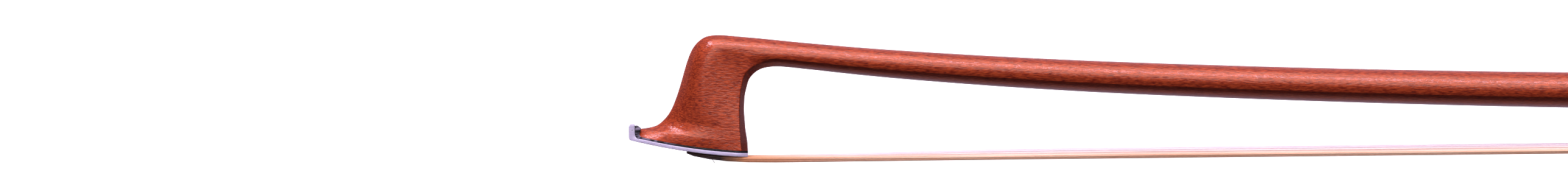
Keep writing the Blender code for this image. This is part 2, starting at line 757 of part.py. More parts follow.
def hair_twist(distance):
    """The ribbon leaves the head level, leans a little along its run and is level at the ferrule."""
    rise = (distance - PLATE_LENGTH) / HAIR_TWIST_RISE
    fall = (FERRULE_AT - distance) / HAIR_TWIST_FALL
    return HAIR_TWIST * eased(rise) * eased(fall)


def make_hair():
    rings = []
    across = 2 * HAIR_BUNDLES
    for distance, under, thickness, half_width in hair_path():
        lean = math.tan(hair_twist(distance))
        top, low = [], []
        for i in range(across + 1):
            y = half_width * (2 * i / across - 1)
            lift = under + lean * (y + half_width)
            ridge = HAIR_RIDGE * (i % 2)
            top.append((distance, y, lift + thickness - HAIR_RIDGE + ridge))
            low.append((distance, y, lift + HAIR_RIDGE - ridge))
        rings.append(top + low[::-1])
    piece("hair_ribbon", loft(rings), HAIR, STICK, smooth=True)


def make_lapping(name, finish, start):
    """Flat strip wound round the stick. Returns its points, turn by turn."""
    rings = []
    flat = math.cos(math.pi / LAPPING_STEPS)
    for i in range(LAPPING_TURNS * LAPPING_STEPS + 1):
        turns = i / LAPPING_STEPS
        distance = start + LAPPING_PITCH * turns
        inner = (stick_radius(distance) + SEAT_GAP) / flat
        outer = inner + LAPPING_THICKNESS
        angle = 2 * math.pi * turns
        ring = []
        for side, radius in ((-1, inner), (1, inner), (1, outer), (-1, outer)):
            along = distance + side * LAPPING_WIDTH / 2
            height = stick_middle(along) + radius * math.cos(angle)
            ring.append((along, radius * math.sin(angle), height))
        rings.append(ring)
    piece(name, loft(rings), finish, STICK, smooth=True)
    return rings


def least_gap(rings):
    """Smallest distance between one turn's far edge and the next turn's near edge."""
    gaps = []
    for i, ring in enumerate(rings[: -LAPPING_STEPS - 1]):
        for j in range(i + LAPPING_STEPS - 1, i + LAPPING_STEPS + 2):
            gaps += [math.dist(a, b) for a in ring[1:3] for b in (rings[j][0], rings[j][3])]
    return min(gaps)


def make_handle_wrap():
    run = LAPPING_TURNS * LAPPING_PITCH
    start = LEATHER_START - LEATHER_TO_LAPPING - run - LAPPING_PITCH / 2 - LAPPING_WIDTH
    dark = make_lapping("winding_strip_dark", DARK_STRIP, start)
    light = make_lapping("winding_strip_light", LIGHT_STRIP, start + LAPPING_PITCH / 2)
    for name, rings in (("dark", dark), ("light", light)):
        print(f"winding strip {name}: least gap to itself {least_gap(rings) * 1000:.2f} mm")


def make_leather():
    """Thumb leather glued round the handle, where the stick turns from round to octagonal."""
    first, last = LEATHER_START + LEATHER_THICKNESS, LEATHER_END - LEATHER_THICKNESS
    fade = steady(OCTAGON_START - OCTAGON_FADE, OCTAGON_START, 3)
    outer = [(LEATHER_START, LEATHER_FEATHER), (first, LEATHER_THICKNESS)]
    outer += [(distance, LEATHER_THICKNESS) for distance in fade if first < distance < last]
    outer += [(last, LEATHER_THICKNESS), (LEATHER_END, LEATHER_FEATHER)]
    inner = [distance for distance in fade if LEATHER_START < distance < LEATHER_END]
    inner = [LEATHER_START, *inner, LEATHER_END]
    rings = [handle_section(distance, rise, LEATHER_ROUNDNESS) for distance, rise in outer]
    rings += [handle_section(distance, SEAT_GAP) for distance in reversed(inner)]
    piece("thumb_leather", loft(rings, closed=True), LEATHER, STICK, smooth=True)


def cheek_half_width(z):
    return on_line(FROG_CHEEKS, z)


def cheeked(bm):
    """Side prism cut at the cheek's levels and drawn in to the cheek's width at each."""
    for level, _ in FROG_CHEEKS[1:-1]:
        everything = list(bm.verts) + list(bm.edges) + list(bm.faces)
        bmesh.ops.bisect_plane(bm, geom=everything, plane_co=(0.0, 0.0, level), plane_no=(0.0, 0.0, 1.0))
    for vertex in bm.verts:
        vertex.co.y = math.copysign(cheek_half_width(vertex.co.z), vertex.co.y)
    return bm


def heel_x(z, inset=0.0):
    """Back of the frog, which sweeps out towards its foot."""
    return HEEL_TOP + (FROG_LENGTH - HEEL_TOP) * max(0.0, 1 - z / FROG_HEIGHT) ** HEEL_SWEEP - inset


def d_outline(half_width, bottom, top):
    """Section of the ferrule: flat below, straight sides, arched above."""
    rise = top - FERRULE_SIDES
    start = math.degrees(math.asin(min(1.0, max(0.0, (bottom - FERRULE_SIDES) / rise))))
    outline = arc((0.0, FERRULE_SIDES), (half_width, rise), start, 180 - start, 14)
    if bottom < FERRULE_SIDES:
        outline = [(half_width, bottom), *outline, (-half_width, bottom)]
    return outline


def octagon(apothem, middle_z):
    reach = apothem / math.cos(math.pi / 8)
    angles = [math.pi / 8 + i * math.pi / 4 for i in range(8)]
    return [(reach * math.sin(a), middle_z + reach * math.cos(a)) for a in angles]


def dovetail(low, high, front, back):
    """Slab with sides that spread upwards, between the two rails of the frog."""
    def half(z):
        share = z / (PEARL_THICKNESS + BACKING_THICKNESS)
        return PEARL_HALF_LOW + (PEARL_HALF_HIGH - PEARL_HALF_LOW) * share
    outline = [(-half(low), low), (half(low), low), (half(high), high), (-half(high), high)]
    return prism(outline, "X", front, back)


def make_frog_body():
    step = HEEL_PLATE + SEAT_GAP
    throat = arc((THROAT_FRONT, THROAT_Z), (THROAT_DEPTH, THROAT_RISE), 0, 84, 9)
    tip = THUMB_TIP_RADIUS
    lip = arc((THUMB_FRONT + tip, THUMB_TIP_Z), (tip, tip), 250, 180, 3)
    heel_low = [(heel_x(z, step), z) for z in steady(HEEL_PLATE_TOP + SEAT_GAP, 0.0, 6)]
    heel_high = [(heel_x(z), z) for z in steady(FROG_HEIGHT, HEEL_PLATE_TOP + SEAT_GAP, 3)]
    outline = [(FROG_FRONT, 0.0), (FROG_FRONT, THROAT_Z - THROAT_LIP)] + throat + lip
    outline += [(THUMB_FRONT, FROG_HEIGHT)] + heel_high + heel_low
    bm = cheeked(prism(outline, "Y", -FERRULE_HALF, FERRULE_HALF))
    body = piece("frog_body", bm, EBONY, FROG)

    inside = FERRULE_HALF - FERRULE_WALL - SEAT_GAP
    tongue_top = FERRULE_TOP - FERRULE_WALL - SEAT_GAP
    tongue_back = FROG_FRONT + TONGUE_ROOT
    tongue = prism(d_outline(inside, TONGUE_Z, tongue_top), "X", TONGUE_FRONT, tongue_back)
    combine(body, cutter("frog_tongue", tongue, FROG), "UNION")

    bed = HANDLE_FLATS / 2 + SLIDE_GAP + UNDERSLIDE_THICKNESS + SEAT_GAP
    bed_shape = prism(octagon(bed, AXIS_Z), "X", -FROG_LENGTH, 2 * FROG_LENGTH)
    combine(body, cutter("stick_bed", bed_shape, FROG))

    slide_top = PEARL_THICKNESS + BACKING_THICKNESS + SEAT_GAP
    mortise_top = slide_top + FROG_MORTISE_DEPTH
    low = (FROG_MORTISE_FRONT, -FROG_MORTISE_HALF, slide_top / 2)
    high = (FROG_MORTISE_BACK, FROG_MORTISE_HALF, mortise_top)
    combine(body, cutter("frog_mortise", box(low, high), FROG))

    channel_top = hair_channel_z() + HAIR_THICKNESS + SEAT_GAP
    half = HAIR_FERRULE_HALF + SEAT_GAP
    low = (FROG_FRONT / 2, -half, slide_top - SEAT_GAP / 2)
    high = (FROG_MORTISE_FRONT + SEAT_GAP, half, channel_top)
    combine(body, cutter("hair_channel", box(low, high), FROG))

    over = 2 * SEAT_GAP
    slot = dovetail(-over, slide_top, FROG_FRONT / 2, HEEL_PLATE_FRONT + over)
    for vertex in slot.verts:
        vertex.co.y += math.copysign(SEAT_GAP, vertex.co.y)
    combine(body, cutter("slide_slot", slot, FROG))

    low = (HEEL_PLATE_FRONT - SEAT_GAP, -FERRULE_HALF, -step)
    high = (FROG_LENGTH + step, FERRULE_HALF, step)
    combine(body, cutter("heel_plate_seat", box(low, high), FROG))
    return body


def make_ferrule():
    outer = prism(d_outline(FERRULE_HALF, 0.0, FERRULE_TOP), "X", 0.0, FERRULE_LENGTH)
    ferrule = piece("ferrule", outer, SILVER, FROG, smooth=True)
    half, top = FERRULE_HALF - FERRULE_WALL, FERRULE_TOP - FERRULE_WALL
    inner = prism(d_outline(half, FERRULE_WALL, top), "X", -FERRULE_WALL, FERRULE_LENGTH + FERRULE_WALL)
    combine(ferrule, cutter("ferrule_inside", inner, FROG))

    hair_top = FERRULE_WALL + HAIR_THICKNESS + 3 * SEAT_GAP
    outline = [(WEDGE_FRONT, hair_top), (WEDGE_BACK, hair_top + WEDGE_SLOPE)]
    outline += [(WEDGE_BACK, TONGUE_Z - SEAT_GAP), (WEDGE_FRONT, TONGUE_Z - SEAT_GAP)]
    half = FERRULE_HALF - FERRULE_WALL - 3 * SEAT_GAP
    piece("ferrule_wedge", prism(outline, "Y", -half, half), BOXWOOD, FROG)


def make_slide():
    """Mother-of-pearl slide on its backing, let into the frog's foot between ferrule and heel."""
    front, back = FROG_FRONT + SEAT_GAP, HEEL_PLATE_FRONT - SEAT_GAP
    piece("pearl_slide", dovetail(0.0, PEARL_THICKNESS - SEAT_GAP, front, back), PEARL, FROG)
    top = PEARL_THICKNESS + BACKING_THICKNESS
    piece("slide_backing", dovetail(PEARL_THICKNESS, top, front, back), SILVER, FROG)


def make_frog_filling():
    """Knot and tab of hair behind the ferrule, and the plug that holds them in the mortise."""
    low = hair_channel_z()
    tab_front = FROG_MORTISE_FRONT + SEAT_GAP
    tab_back = tab_front + HAIR_THICKNESS
    top = low + FROG_MORTISE_DEPTH - 3 * SEAT_GAP
    knot = 1.5 * KNOT_RADIUS
    knot_z = top - knot
    neck_z = knot_z - KNOT_NECK * knot
    outline = [(FROG_FRONT, low), (tab_back, low), (tab_back, neck_z)]
    outline += arc((tab_front + knot, knot_z), (knot, knot), -60, 180, 8)
    outline += [(tab_front, low + HAIR_THICKNESS), (FROG_FRONT, low + HAIR_THICKNESS)]
    half = FROG_MORTISE_HALF - SEAT_GAP
    piece("frog_hair_knot", prism(outline, "Y", -half, half), THREAD, FROG)

    plug_low = (tab_back + SEAT_GAP, -half, low)
    plug_high = (FROG_MORTISE_BACK - SEAT_GAP, half, neck_z - SEAT_GAP)
    piece("frog_plug", box(plug_low, plug_high), BOXWOOD, FROG)


def make_heel_plates(body):
    inner = [(heel_x(z, HEEL_PLATE), z) for z in steady(HEEL_PLATE + SEAT_GAP, HEEL_PLATE_TOP, 6)]
    outer = [(heel_x(z), z) for z in steady(HEEL_PLATE_TOP, HEEL_PLATE + SEAT_GAP, 6)]
    bm = cheeked(prism(inner + outer, "Y", -FERRULE_HALF, FERRULE_HALF))
    back = piece("heel_plate_back", bm, SILVER, FROG)
    outline = [(HEEL_PLATE_FRONT, 0.0), (FROG_LENGTH, 0.0), (heel_x(HEEL_PLATE), HEEL_PLATE)]
    outline += [(HEEL_PLATE_FRONT, HEEL_PLATE)]
    bm = cheeked(prism(outline, "Y", -FERRULE_HALF, FERRULE_HALF))
    lower = piece("heel_plate_lower", bm, SILVER, FROG)

    spread = HEEL_PIN_APART / 2
    pins = (
        ("heel_pin_left", lower, (HEEL_PIN_AT, spread, 0.0), (HEEL_PIN_AT, spread, HEEL_PIN_LENGTH)),
        ("heel_pin_right", lower, (HEEL_PIN_AT, -spread, 0.0), (HEEL_PIN_AT, -spread, HEEL_PIN_LENGTH)),
        (
            "heel_pin_back",
            back,
            (heel_x(HEEL_PIN_Z) - SEAT_GAP, 0.0, HEEL_PIN_Z),
            (heel_x(HEEL_PIN_Z) - HEEL_PIN_LENGTH, 0.0, HEEL_PIN_Z),
        ),
    )
    for name, plate, start, end in pins:
        piece(name, rod(HEEL_PIN_RADIUS, start, end, 10), SILVER, FROG)
        run = (Vector(end) - Vector(start)).normalized() * 2 * SEAT_GAP
        hole = rod(HEEL_PIN_RADIUS + SEAT_GAP, Vector(start) - 2 * run, Vector(end) + run, 10)
        hole_cutter = cutter(f"{name}_hole", hole, FROG)
        combine(plate, hole_cutter)
        combine(body, hole_cutter)


def make_underslide(body):
    near = HANDLE_FLATS / 2 + SLIDE_GAP
    far = near + UNDERSLIDE_THICKNESS
    depth = AXIS_Z - UNDERSLIDE_TOP
    outline = []
    for apothem, sides in ((far, (-1, 1)), (near, (1, -1))):
        upper = apothem * math.sqrt(2) - depth
        lower = apothem * TAN_EIGHTH
        first, last = sides
        outline += [(first * upper, UNDERSLIDE_TOP), (first * lower, AXIS_Z - apothem)]
        outline += [(last * lower, AXIS_Z - apothem), (last * upper, UNDERSLIDE_TOP)]
    front, back = THUMB_FRONT + UNDERSLIDE_THICKNESS, HEEL_TOP - UNDERSLIDE_THICKNESS
    underslide = piece("underslide", prism(outline, "X", front, back), SILVER, FROG)

    shank_hole = rod(
        SHANK_RADIUS + SEAT_GAP,
        (EYELET_AT, 0.0, SHANK_BOTTOM - SEAT_GAP),
        (EYELET_AT, 0.0, EYELET_BOTTOM),
        16,
    )
    shank_cutter = cutter("eyelet_hole", shank_hole, FROG)
    combine(underslide, shank_cutter)
    combine(body, shank_cutter)

    flat = AXIS_Z - near - SEAT_GAP
    for name, at in zip(("underslide_screw_front", "underslide_screw_rear"), UNDERSLIDE_SCREWS):
        low, high = (at, 0.0, flat - UNDERSLIDE_SCREW_LENGTH), (at, 0.0, flat)
        piece(name, rod(UNDERSLIDE_SCREW_RADIUS, low, high, 12), STEEL, FROG)
        deep = (at, 0.0, low[2] - SEAT_GAP)
        above = (at, 0.0, AXIS_Z - near / 2)
        hole = cutter(f"{name}_hole", rod(UNDERSLIDE_SCREW_RADIUS + SEAT_GAP, deep, above, 12), FROG)
        combine(underslide, hole)
        combine(body, hole)


def make_eyelet():
    """Brass eyelet: shank in the ebony, head in the stick's slot, with the hole for the screw."""
    stem = rod(SHANK_RADIUS, (EYELET_AT, 0.0, SHANK_BOTTOM), (EYELET_AT, 0.0, AXIS_Z), 16)
    head = rod(EYELET_RADIUS, (EYELET_AT, 0.0, EYELET_BOTTOM), (EYELET_AT, 0.0, EYELET_TOP), 24)
    eyelet = piece("eyelet", head, BRASS, FROG, smooth=True)
    combine(eyelet, cutter("eyelet_shank", stem, FROG), "UNION")
    reach = 2 * EYELET_RADIUS
    start, end = (EYELET_AT - reach, 0.0, AXIS_Z), (EYELET_AT + reach, 0.0, AXIS_Z)
    combine(eyelet, cutter("eyelet_thread", rod(SCREW_RADIUS + SCREW_GAP, start, end, 24), FROG))


def tube_wall(outer, inner, depth, steps=24):
    """Flat ring about Z, from z = -depth to 0."""
    rings = []
    for i in range(steps):
        a = 2 * math.pi * i / steps
        corners = ((outer, 0.0), (outer, -depth), (inner, -depth), (inner, 0.0))
        rings.append([(r * math.cos(a), r * math.sin(a), z) for r, z in corners])
    return loft(rings, closed=True)


def disc(radius, depth, steps=20):
    bm = bmesh.new()
    shift = Matrix.Translation((0.0, 0.0, -depth / 2))
    bmesh.ops.create_cone(
        bm, cap_ends=True, segments=steps, radius1=radius, radius2=radius, depth=depth, matrix=shift
    )
    return bm


def make_eyes(body):
    """Ring and pearl let flush into each cheek, square to the cheek's lean."""
    low, high = FROG_CHEEKS[4], FROG_CHEEKS[5]
    lean = math.atan((low[1] - high[1]) / (high[0] - low[0]))
    for side, sign in (("left", 1), ("right", -1)):
        face = (
            Matrix.Translation((EYE_AT, sign * cheek_half_width(EYE_Z), EYE_Z))
            @ Matrix.Rotation(sign * lean, 4, "X")
            @ Matrix.Rotation(-sign * math.pi / 2, 4, "X")
        )
        sunk = face @ Matrix.Translation((0.0, 0.0, -SEAT_GAP / 2))
        proud = face @ Matrix.Translation((0.0, 0.0, 3 * SEAT_GAP))
        inner = EYE_RING_RADIUS - EYE_RING_WIDTH
        ring = tube_wall(EYE_RING_RADIUS, inner, EYE_DEPTH)
        groove = tube_wall(EYE_RING_RADIUS + SEAT_GAP, inner - SEAT_GAP, EYE_DEPTH + 5 * SEAT_GAP)
        pearl = disc(EYE_PEARL_RADIUS, EYE_DEPTH)
        pocket = disc(EYE_PEARL_RADIUS + SEAT_GAP, EYE_DEPTH + 5 * SEAT_GAP)
        for bm, matrix in ((ring, sunk), (groove, proud), (pearl, sunk), (pocket, proud)):
            bmesh.ops.transform(bm, matrix=matrix, verts=bm.verts)
        piece(f"eye_ring_{side}", ring, SILVER, FROG, smooth=True)
        piece(f"eye_pearl_{side}", pearl, PEARL, FROG, smooth=True)
        combine(body, cutter(f"eye_groove_{side}", groove, FROG))
        combine(body, cutter(f"eye_pocket_{side}", pocket, FROG))


def make_frog():
    body = make_frog_body()
    make_ferrule()
    make_slide()
    make_frog_filling()
    make_heel_plates(body)
    make_underslide(body)
    make_eyelet()
    make_eyes(body)


def make_screw():
    """Steel screw: nose in the pilot hole, thread in the eyelet, square tang in the button."""
    slot_front, _ = slot_reach()
    nose_end = slot_front - PILOT_DEPTH + SLOT_END_CLEARANCE - STICK_LENGTH
    nose_start = slot_front + SLOT_END_CLEARANCE - STICK_LENGTH
    taper = SCREW_NOSE_RADIUS / 2
    tip = SCREW_NOSE_RADIUS * 0.6
    shoulder = NIPPLE_LENGTH + BUTTON_GAP / 2
    profile = [
        (0.0, shoulder),
        (SCREW_RADIUS, shoulder),
        (SCREW_RADIUS, nose_start + taper),
        (SCREW_NOSE_RADIUS, nose_start),
        (SCREW_NOSE_RADIUS, nose_end + tip),
        (tip, nose_end),
        (0.0, nose_end),
    ]
    screw = turned("screw", profile, STEEL, TURN, steps=16)
    tang_start = NIPPLE_LENGTH + 2 * BUTTON_GAP
    tang_end = BUTTON_GAP + BUTTON_LENGTH - BUTTON_PEARL_DEPTH - 4 * SEAT_GAP
    half = TANG_WIDTH / 2
    neck = SCREW_RADIUS * 0.65
    root = box((shoulder - SCREW_RADIUS, -neck, -neck), (tang_start + neck, neck, neck))
    combine(screw, cutter("tang_root", root, TURN), "UNION")
    tang = box((tang_start, -half, -half), (tang_end, half, half))
    combine(screw, cutter("tang", tang, TURN), "UNION")


def make_button():
    front = BUTTON_GAP
    front_end = front + FRONT_COLLAR
    end = BUTTON_GAP + BUTTON_LENGTH
    rear = end - REAR_COLLAR
    corner = BUTTON_FLATS / 2 / math.cos(math.pi / 8)
    lipped = corner - COLLAR_BEVEL
    hole = TANG_WIDTH / 2 + SCREW_GAP

    profile = [(0.0, front_end), (corner, front_end), (corner, front + COLLAR_BEVEL)]
    profile += [(lipped, front), (0.0, front)]
    collar = turned("button_front_collar", profile, SILVER, TURN, steps=8, spin=math.pi / 8)
    start, deep = (-BUTTON_GAP, 0.0, 0.0), (NIPPLE_LENGTH + BUTTON_GAP, 0.0, 0.0)
    recess = rod(NIPPLE_DIAMETER / 2 + SLIDE_GAP, start, deep, 24)
    combine(collar, cutter("nipple_recess", recess, TURN))
    low, high = (-BUTTON_GAP, -hole, -hole), (end - BUTTON_PEARL_DEPTH - 3 * SEAT_GAP, hole, hole)
    square = cutter("tang_hole", box(low, high), TURN)
    combine(collar, square)

    core_front, core_end = front_end + SEAT_GAP, rear - SEAT_GAP
    waist = corner - CORE_WAIST
    profile = [
        (0.0, core_end),
        (corner - SEAT_GAP, core_end),
        (waist, core_end - COLLAR_BEVEL * 2),
        (waist, core_front + COLLAR_BEVEL * 2),
        (corner - SEAT_GAP, core_front),
        (0.0, core_front),
    ]
    core = turned("button_core", profile, EBONY, TURN, steps=8, spin=math.pi / 8)
    combine(core, square)

    profile = [(0.0, end), (lipped, end), (corner, end - COLLAR_BEVEL), (corner, rear), (0.0, rear)]
    rear_collar = turned("button_rear_collar", profile, SILVER, TURN, steps=8, spin=math.pi / 8)
    combine(rear_collar, square)
    pocket_start = (end - BUTTON_PEARL_DEPTH - 2 * SEAT_GAP, 0.0, 0.0)
    pocket = rod(BUTTON_PEARL_RADIUS + SEAT_GAP, pocket_start, (end + SEAT_GAP, 0.0, 0.0), 20)
    combine(rear_collar, cutter("button_pearl_pocket", pocket, TURN))
    pearl_start = (end - BUTTON_PEARL_DEPTH - SEAT_GAP, 0.0, 0.0)
    pearl_end = (end - SEAT_GAP, 0.0, 0.0)
    piece("button_pearl_eye", rod(BUTTON_PEARL_RADIUS, pearl_start, pearl_end, 20), PEARL, TURN)


head_mortise = make_stick()
make_tip(head_mortise)
make_head_filling()
make_hair()
make_handle_wrap()
make_leather()
make_frog()
make_screw()
make_button()
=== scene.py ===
"""Violin bow at playing tension: the looks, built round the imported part. Metres, +Z up."""

import json
import math
import random

import bmesh
import bpy
from mathutils import Matrix, Vector

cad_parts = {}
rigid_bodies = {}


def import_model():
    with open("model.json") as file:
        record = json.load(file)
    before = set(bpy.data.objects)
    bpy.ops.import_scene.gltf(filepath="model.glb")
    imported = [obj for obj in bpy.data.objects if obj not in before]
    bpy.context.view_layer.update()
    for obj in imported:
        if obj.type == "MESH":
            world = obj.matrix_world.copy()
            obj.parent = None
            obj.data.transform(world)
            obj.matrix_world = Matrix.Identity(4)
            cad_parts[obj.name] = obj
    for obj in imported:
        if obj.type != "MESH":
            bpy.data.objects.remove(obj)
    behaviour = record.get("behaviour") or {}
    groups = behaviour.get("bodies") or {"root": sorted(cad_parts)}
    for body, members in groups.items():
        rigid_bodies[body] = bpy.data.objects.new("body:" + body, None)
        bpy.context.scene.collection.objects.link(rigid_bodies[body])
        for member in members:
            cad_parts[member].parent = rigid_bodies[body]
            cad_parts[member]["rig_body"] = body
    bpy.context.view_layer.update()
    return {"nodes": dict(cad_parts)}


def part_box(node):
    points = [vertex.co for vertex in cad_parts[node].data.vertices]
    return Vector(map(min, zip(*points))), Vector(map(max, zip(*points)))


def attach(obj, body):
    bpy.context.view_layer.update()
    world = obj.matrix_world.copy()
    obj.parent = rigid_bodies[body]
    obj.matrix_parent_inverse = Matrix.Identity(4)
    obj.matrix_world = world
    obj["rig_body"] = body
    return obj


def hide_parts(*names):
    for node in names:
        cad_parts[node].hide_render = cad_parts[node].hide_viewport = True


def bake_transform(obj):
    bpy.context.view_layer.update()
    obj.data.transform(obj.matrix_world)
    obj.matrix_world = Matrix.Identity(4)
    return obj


for leftover in list(bpy.data.objects):
    bpy.data.objects.remove(leftover)
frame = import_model()
nodes = frame["nodes"]
scene = bpy.context.scene


# Stick and head: one rod of pernambuco heartwood, planed to its taper, sprung over heat and
# carved at its end into the head, oiled and polished with shellac. Camber, taper and side view are
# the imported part's, skinned more finely, with worn arrises and fuller cheeks low on the head.
NOSE_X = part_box("tip_plate")[0].x
STICK_LENGTH = 0.728
AXIS_Z = 0.0215
CAMBER_NEAR_HEAD = (
    (0.0360, 0.0216),
    (0.0459, 0.0205),
    (0.0707, 0.01835),
    (0.0956, 0.0167),
    (0.1204, 0.01546),
    (0.1553, 0.01404),
)
CAMBER_LOW_AT = 0.302
CAMBER_LOW_Z = 0.0118
HANDLE_START = STICK_LENGTH - 0.086
HANDLE_FLATS = 0.0086
THICKNESS = (
    (0.0360, 0.00535),
    (0.0558, 0.00582),
    (0.0707, 0.00609),
    (0.1553, 0.00697),
    (CAMBER_LOW_AT, 0.0080),
    (HANDLE_START, HANDLE_FLATS),
)
OCTAGON_START = STICK_LENGTH - 0.070
OCTAGON_FADE = 0.006
HEAD_FADE = 0.016
FINE_STEP = 0.0016
COARSE_STEP = 0.005
OCTAGON_NEAR = 0.65
END_EASE = 0.0003
END_DROP = 0.0002
NIPPLE_RADIUS = 0.0025
NIPPLE_LENGTH = 0.0016
# Front point, back point, half width, front bevel, back chamfer, share of the head's form
HEAD_RIBS = (
    (0.03595, 0.02426, 0.03590, 0.01891, 0.00268, 0.0016, 0.0012, 0.25),
    (0.03098, 0.02481, 0.03093, 0.01946, 0.00267, 0.0017, 0.0013, 0.40),
    (0.02664, 0.02529, 0.02819, 0.01930, 0.00266, 0.0018, 0.0014, 0.60),
    (0.02291, 0.02564, 0.02669, 0.01882, 0.00265, 0.0020, 0.0014, 0.80),
    (0.01918, 0.02599, 0.02556, 0.01802, 0.00265, 0.0023, 0.0014, 1.0),
    (0.01644, 0.02583, 0.02468, 0.01691, 0.00265, 0.0026, 0.0014, 1.0),
    (0.01457, 0.02486, 0.02417, 0.01530, 0.00272, 0.0029, 0.0013, 1.0),
    (0.01305, 0.02301, 0.02378, 0.01356, 0.00286, 0.0030, 0.0012, 1.0),
    (0.01190, 0.02016, 0.02363, 0.01170, 0.00304, 0.0032, 0.0011, 1.0),
    (0.01087, 0.01669, 0.02361, 0.01008, 0.00324, 0.0036, 0.0011, 1.0),
    (0.00972, 0.01321, 0.02372, 0.00846, 0.00344, 0.0046, 0.0011, 1.0),
    (0.00819, 0.01000, 0.02383, 0.00685, 0.00362, 0.0066, 0.0012, 1.0),
    (0.00568, 0.00766, 0.02406, 0.00523, 0.00378, 0.0112, 0.0013, 1.0),
    (0.00231, 0.00701, 0.02423, 0.00386, 0.00388, 0.0180, 0.0014, 1.0),
)
RIDGE_HALF = 0.0005
ROLL_SPREAD = 1.9
LEAST_CHEEK = 0.0005
BACK_SHARE = 0.62
FOOT_BEVEL = 0.0164
FOOT_CHAMFER = 0.0014
WOOD_FRONT = 0.0021
PLATE_LENGTH = 0.0243
PLATE_THICKNESS = 0.00078
PLATE_NOSE_Z = 0.00482
PLATE_BACK_Z = 0.0012
PLATE_BOW = 0.0006
PLATE_NOSE_HALF = 0.0012
PLATE_HALF = 0.00405
PLATE_FULL_AT = 0.0205
PLATE_CORNER = 0.0014
PLATE_CORNER_CUT = 0.0007
LINER_THICKNESS = 0.00035
GLUE_GAP = 0.00005
MORTISE_FRONT, MORTISE_BACK = 0.0122, 0.0213
MORTISE_DEPTH = 0.0050
MORTISE_HALF_LOW = 0.0029
MORTISE_HALF_HIGH = 0.0020
SLOT_FRONT, SLOT_BACK = 0.69420, 0.70640
SLOT_WIDTH = 0.0049
SLOT_LOW, SLOT_HIGH = 0.0129, 0.0248
BORE_RADIUS = 0.00165
BORE_FRONT = 0.7
BORE_PAST = 0.732
PILOT_RADIUS = 0.00125
PILOT_DEPTH = 0.01
# Places of a section's points from its top, 0, to its bottom, 16: in pairs at each arris
AROUND = (
    0, 0.6, 0.9, 1.1, 1.4, 1.94, 2.06, 2.5, 3, 3.5, 4, 4.5, 5, 5.5, 5.93, 6.07, 6.5, 7, 8, 9,
    9.94, 10.06, 11, 12, 12.7, 12.94, 13.08, 13.3, 13.94, 14.06, 14.7, 14.94, 15.06, 15.3, 16,
)  # fmt: skip


def eased(share):
    share = min(1.0, max(0.0, share))
    return share * share * (3 - 2 * share)


def on_curve(points, x):
    """Value at x on a smooth curve through points, which ends level at the last."""
    slopes = [(b[1] - a[1]) / (b[0] - a[0]) for a, b in zip(points, points[1:])]
    spans = [b[0] - a[0] for a, b in zip(points, points[1:])]
    middle = [
        (slopes[i] * spans[i + 1] + slopes[i + 1] * spans[i]) / (spans[i] + spans[i + 1])
        for i in range(len(slopes) - 1)
    ]
    tangents = [slopes[0], *middle, 0.0]
    index = max(i for i in range(len(spans)) if i == 0 or points[i][0] <= x)
    u = min(1.0, max(0.0, (x - points[index][0]) / spans[index]))
    return (
        points[index][1] * (1 + 2 * u) * (1 - u) ** 2
        + tangents[index] * spans[index] * u * (1 - u) ** 2
        + points[index + 1][1] * u * u * (3 - 2 * u)
        + tangents[index + 1] * spans[index] * u * u * (u - 1)
    )


def stick_middle(distance):
    """Height of the stick's middle line, which is sprung down between head and handle."""
    if distance <= CAMBER_LOW_AT:
        return on_curve(CAMBER_NEAR_HEAD + ((CAMBER_LOW_AT, CAMBER_LOW_Z),), distance)
    share = (distance - CAMBER_LOW_AT) / (HANDLE_START - CAMBER_LOW_AT)
    return CAMBER_LOW_Z + (AXIS_Z - CAMBER_LOW_Z) * eased(share)


def stick_radius(distance):
    return on_curve(THICKNESS, distance) / 2


def round_profile():
    """Half a circle, as (share of the height from the top, share of the half width)."""
    angles = [math.pi * place / 16 for place in AROUND]
    return [((1 - math.cos(a)) / 2, math.sin(a)) for a in angles]


def octagon_profile():
    """Half the handle's octagon, in the same shares."""
    half = []
    for angle in [math.pi * place / 16 for place in AROUND]:
        reach = 1 / math.cos((angle + math.pi / 8) % (math.pi / 4) - math.pi / 8)
        half.append(((1 - reach * math.cos(angle)) / 2, reach * math.sin(angle)))
    return half


def head_profile(length, half_width, bevel, chamfer):
    """Half a section of the head: ridge, front rolled over into the cheek, chamfer and back face."""
    ridge = RIDGE_HALF / half_width
    rolled = min(ROLL_SPREAD * bevel, length - chamfer - LEAST_CHEEK) / length
    chamfer = chamfer / length
    half = []
    for place in AROUND:
        if place < 1:
            half.append((0.0, ridge * place))
        elif place < 6:
            share = (place - 1) / 5
            half.append((rolled * share, ridge + (1 - ridge) * (1 - (1 - share) ** 3)))
        elif place < 13:
            half.append((rolled + (1 - rolled - chamfer) * (place - 6) / 7, 1.0))
        elif place < 15:
            share = (place - 13) / 2
            half.append((1 - chamfer * (1 - share), 1 + (BACK_SHARE - 1) * share))
        else:
            half.append((1.0, BACK_SHARE * (16 - place)))
    return half


def mixed(first, second, share):
    """Profile between two others."""
    return [(a[0] + (b[0] - a[0]) * share, a[1] + (b[1] - a[1]) * share) for a, b in zip(first, second)]


def section(top, bottom, half_width, profile):
    """Ring of points from a half profile, between two points of the side view."""
    right = []
    for share, width in profile:
        x, z = (a + (b - a) * share for a, b in zip(top, bottom))
        right.append((x, half_width * width, z))
    return right + [(x, -y, z) for x, y, z in reversed(right[1:-1])]


def handle_section(distance, offset=0.0, roundness=0.0):
    """Section of the stick, swelled by offset, round in front of the handle's octagon."""
    radius = stick_radius(distance) + offset
    fade = eased((distance - OCTAGON_START + OCTAGON_FADE) / OCTAGON_FADE) * (1 - roundness)
    middle = stick_middle(distance)
    profile = mixed(round_profile(), octagon_profile(), fade)
    return section((distance, middle + radius), (distance, middle - radius), radius, profile)


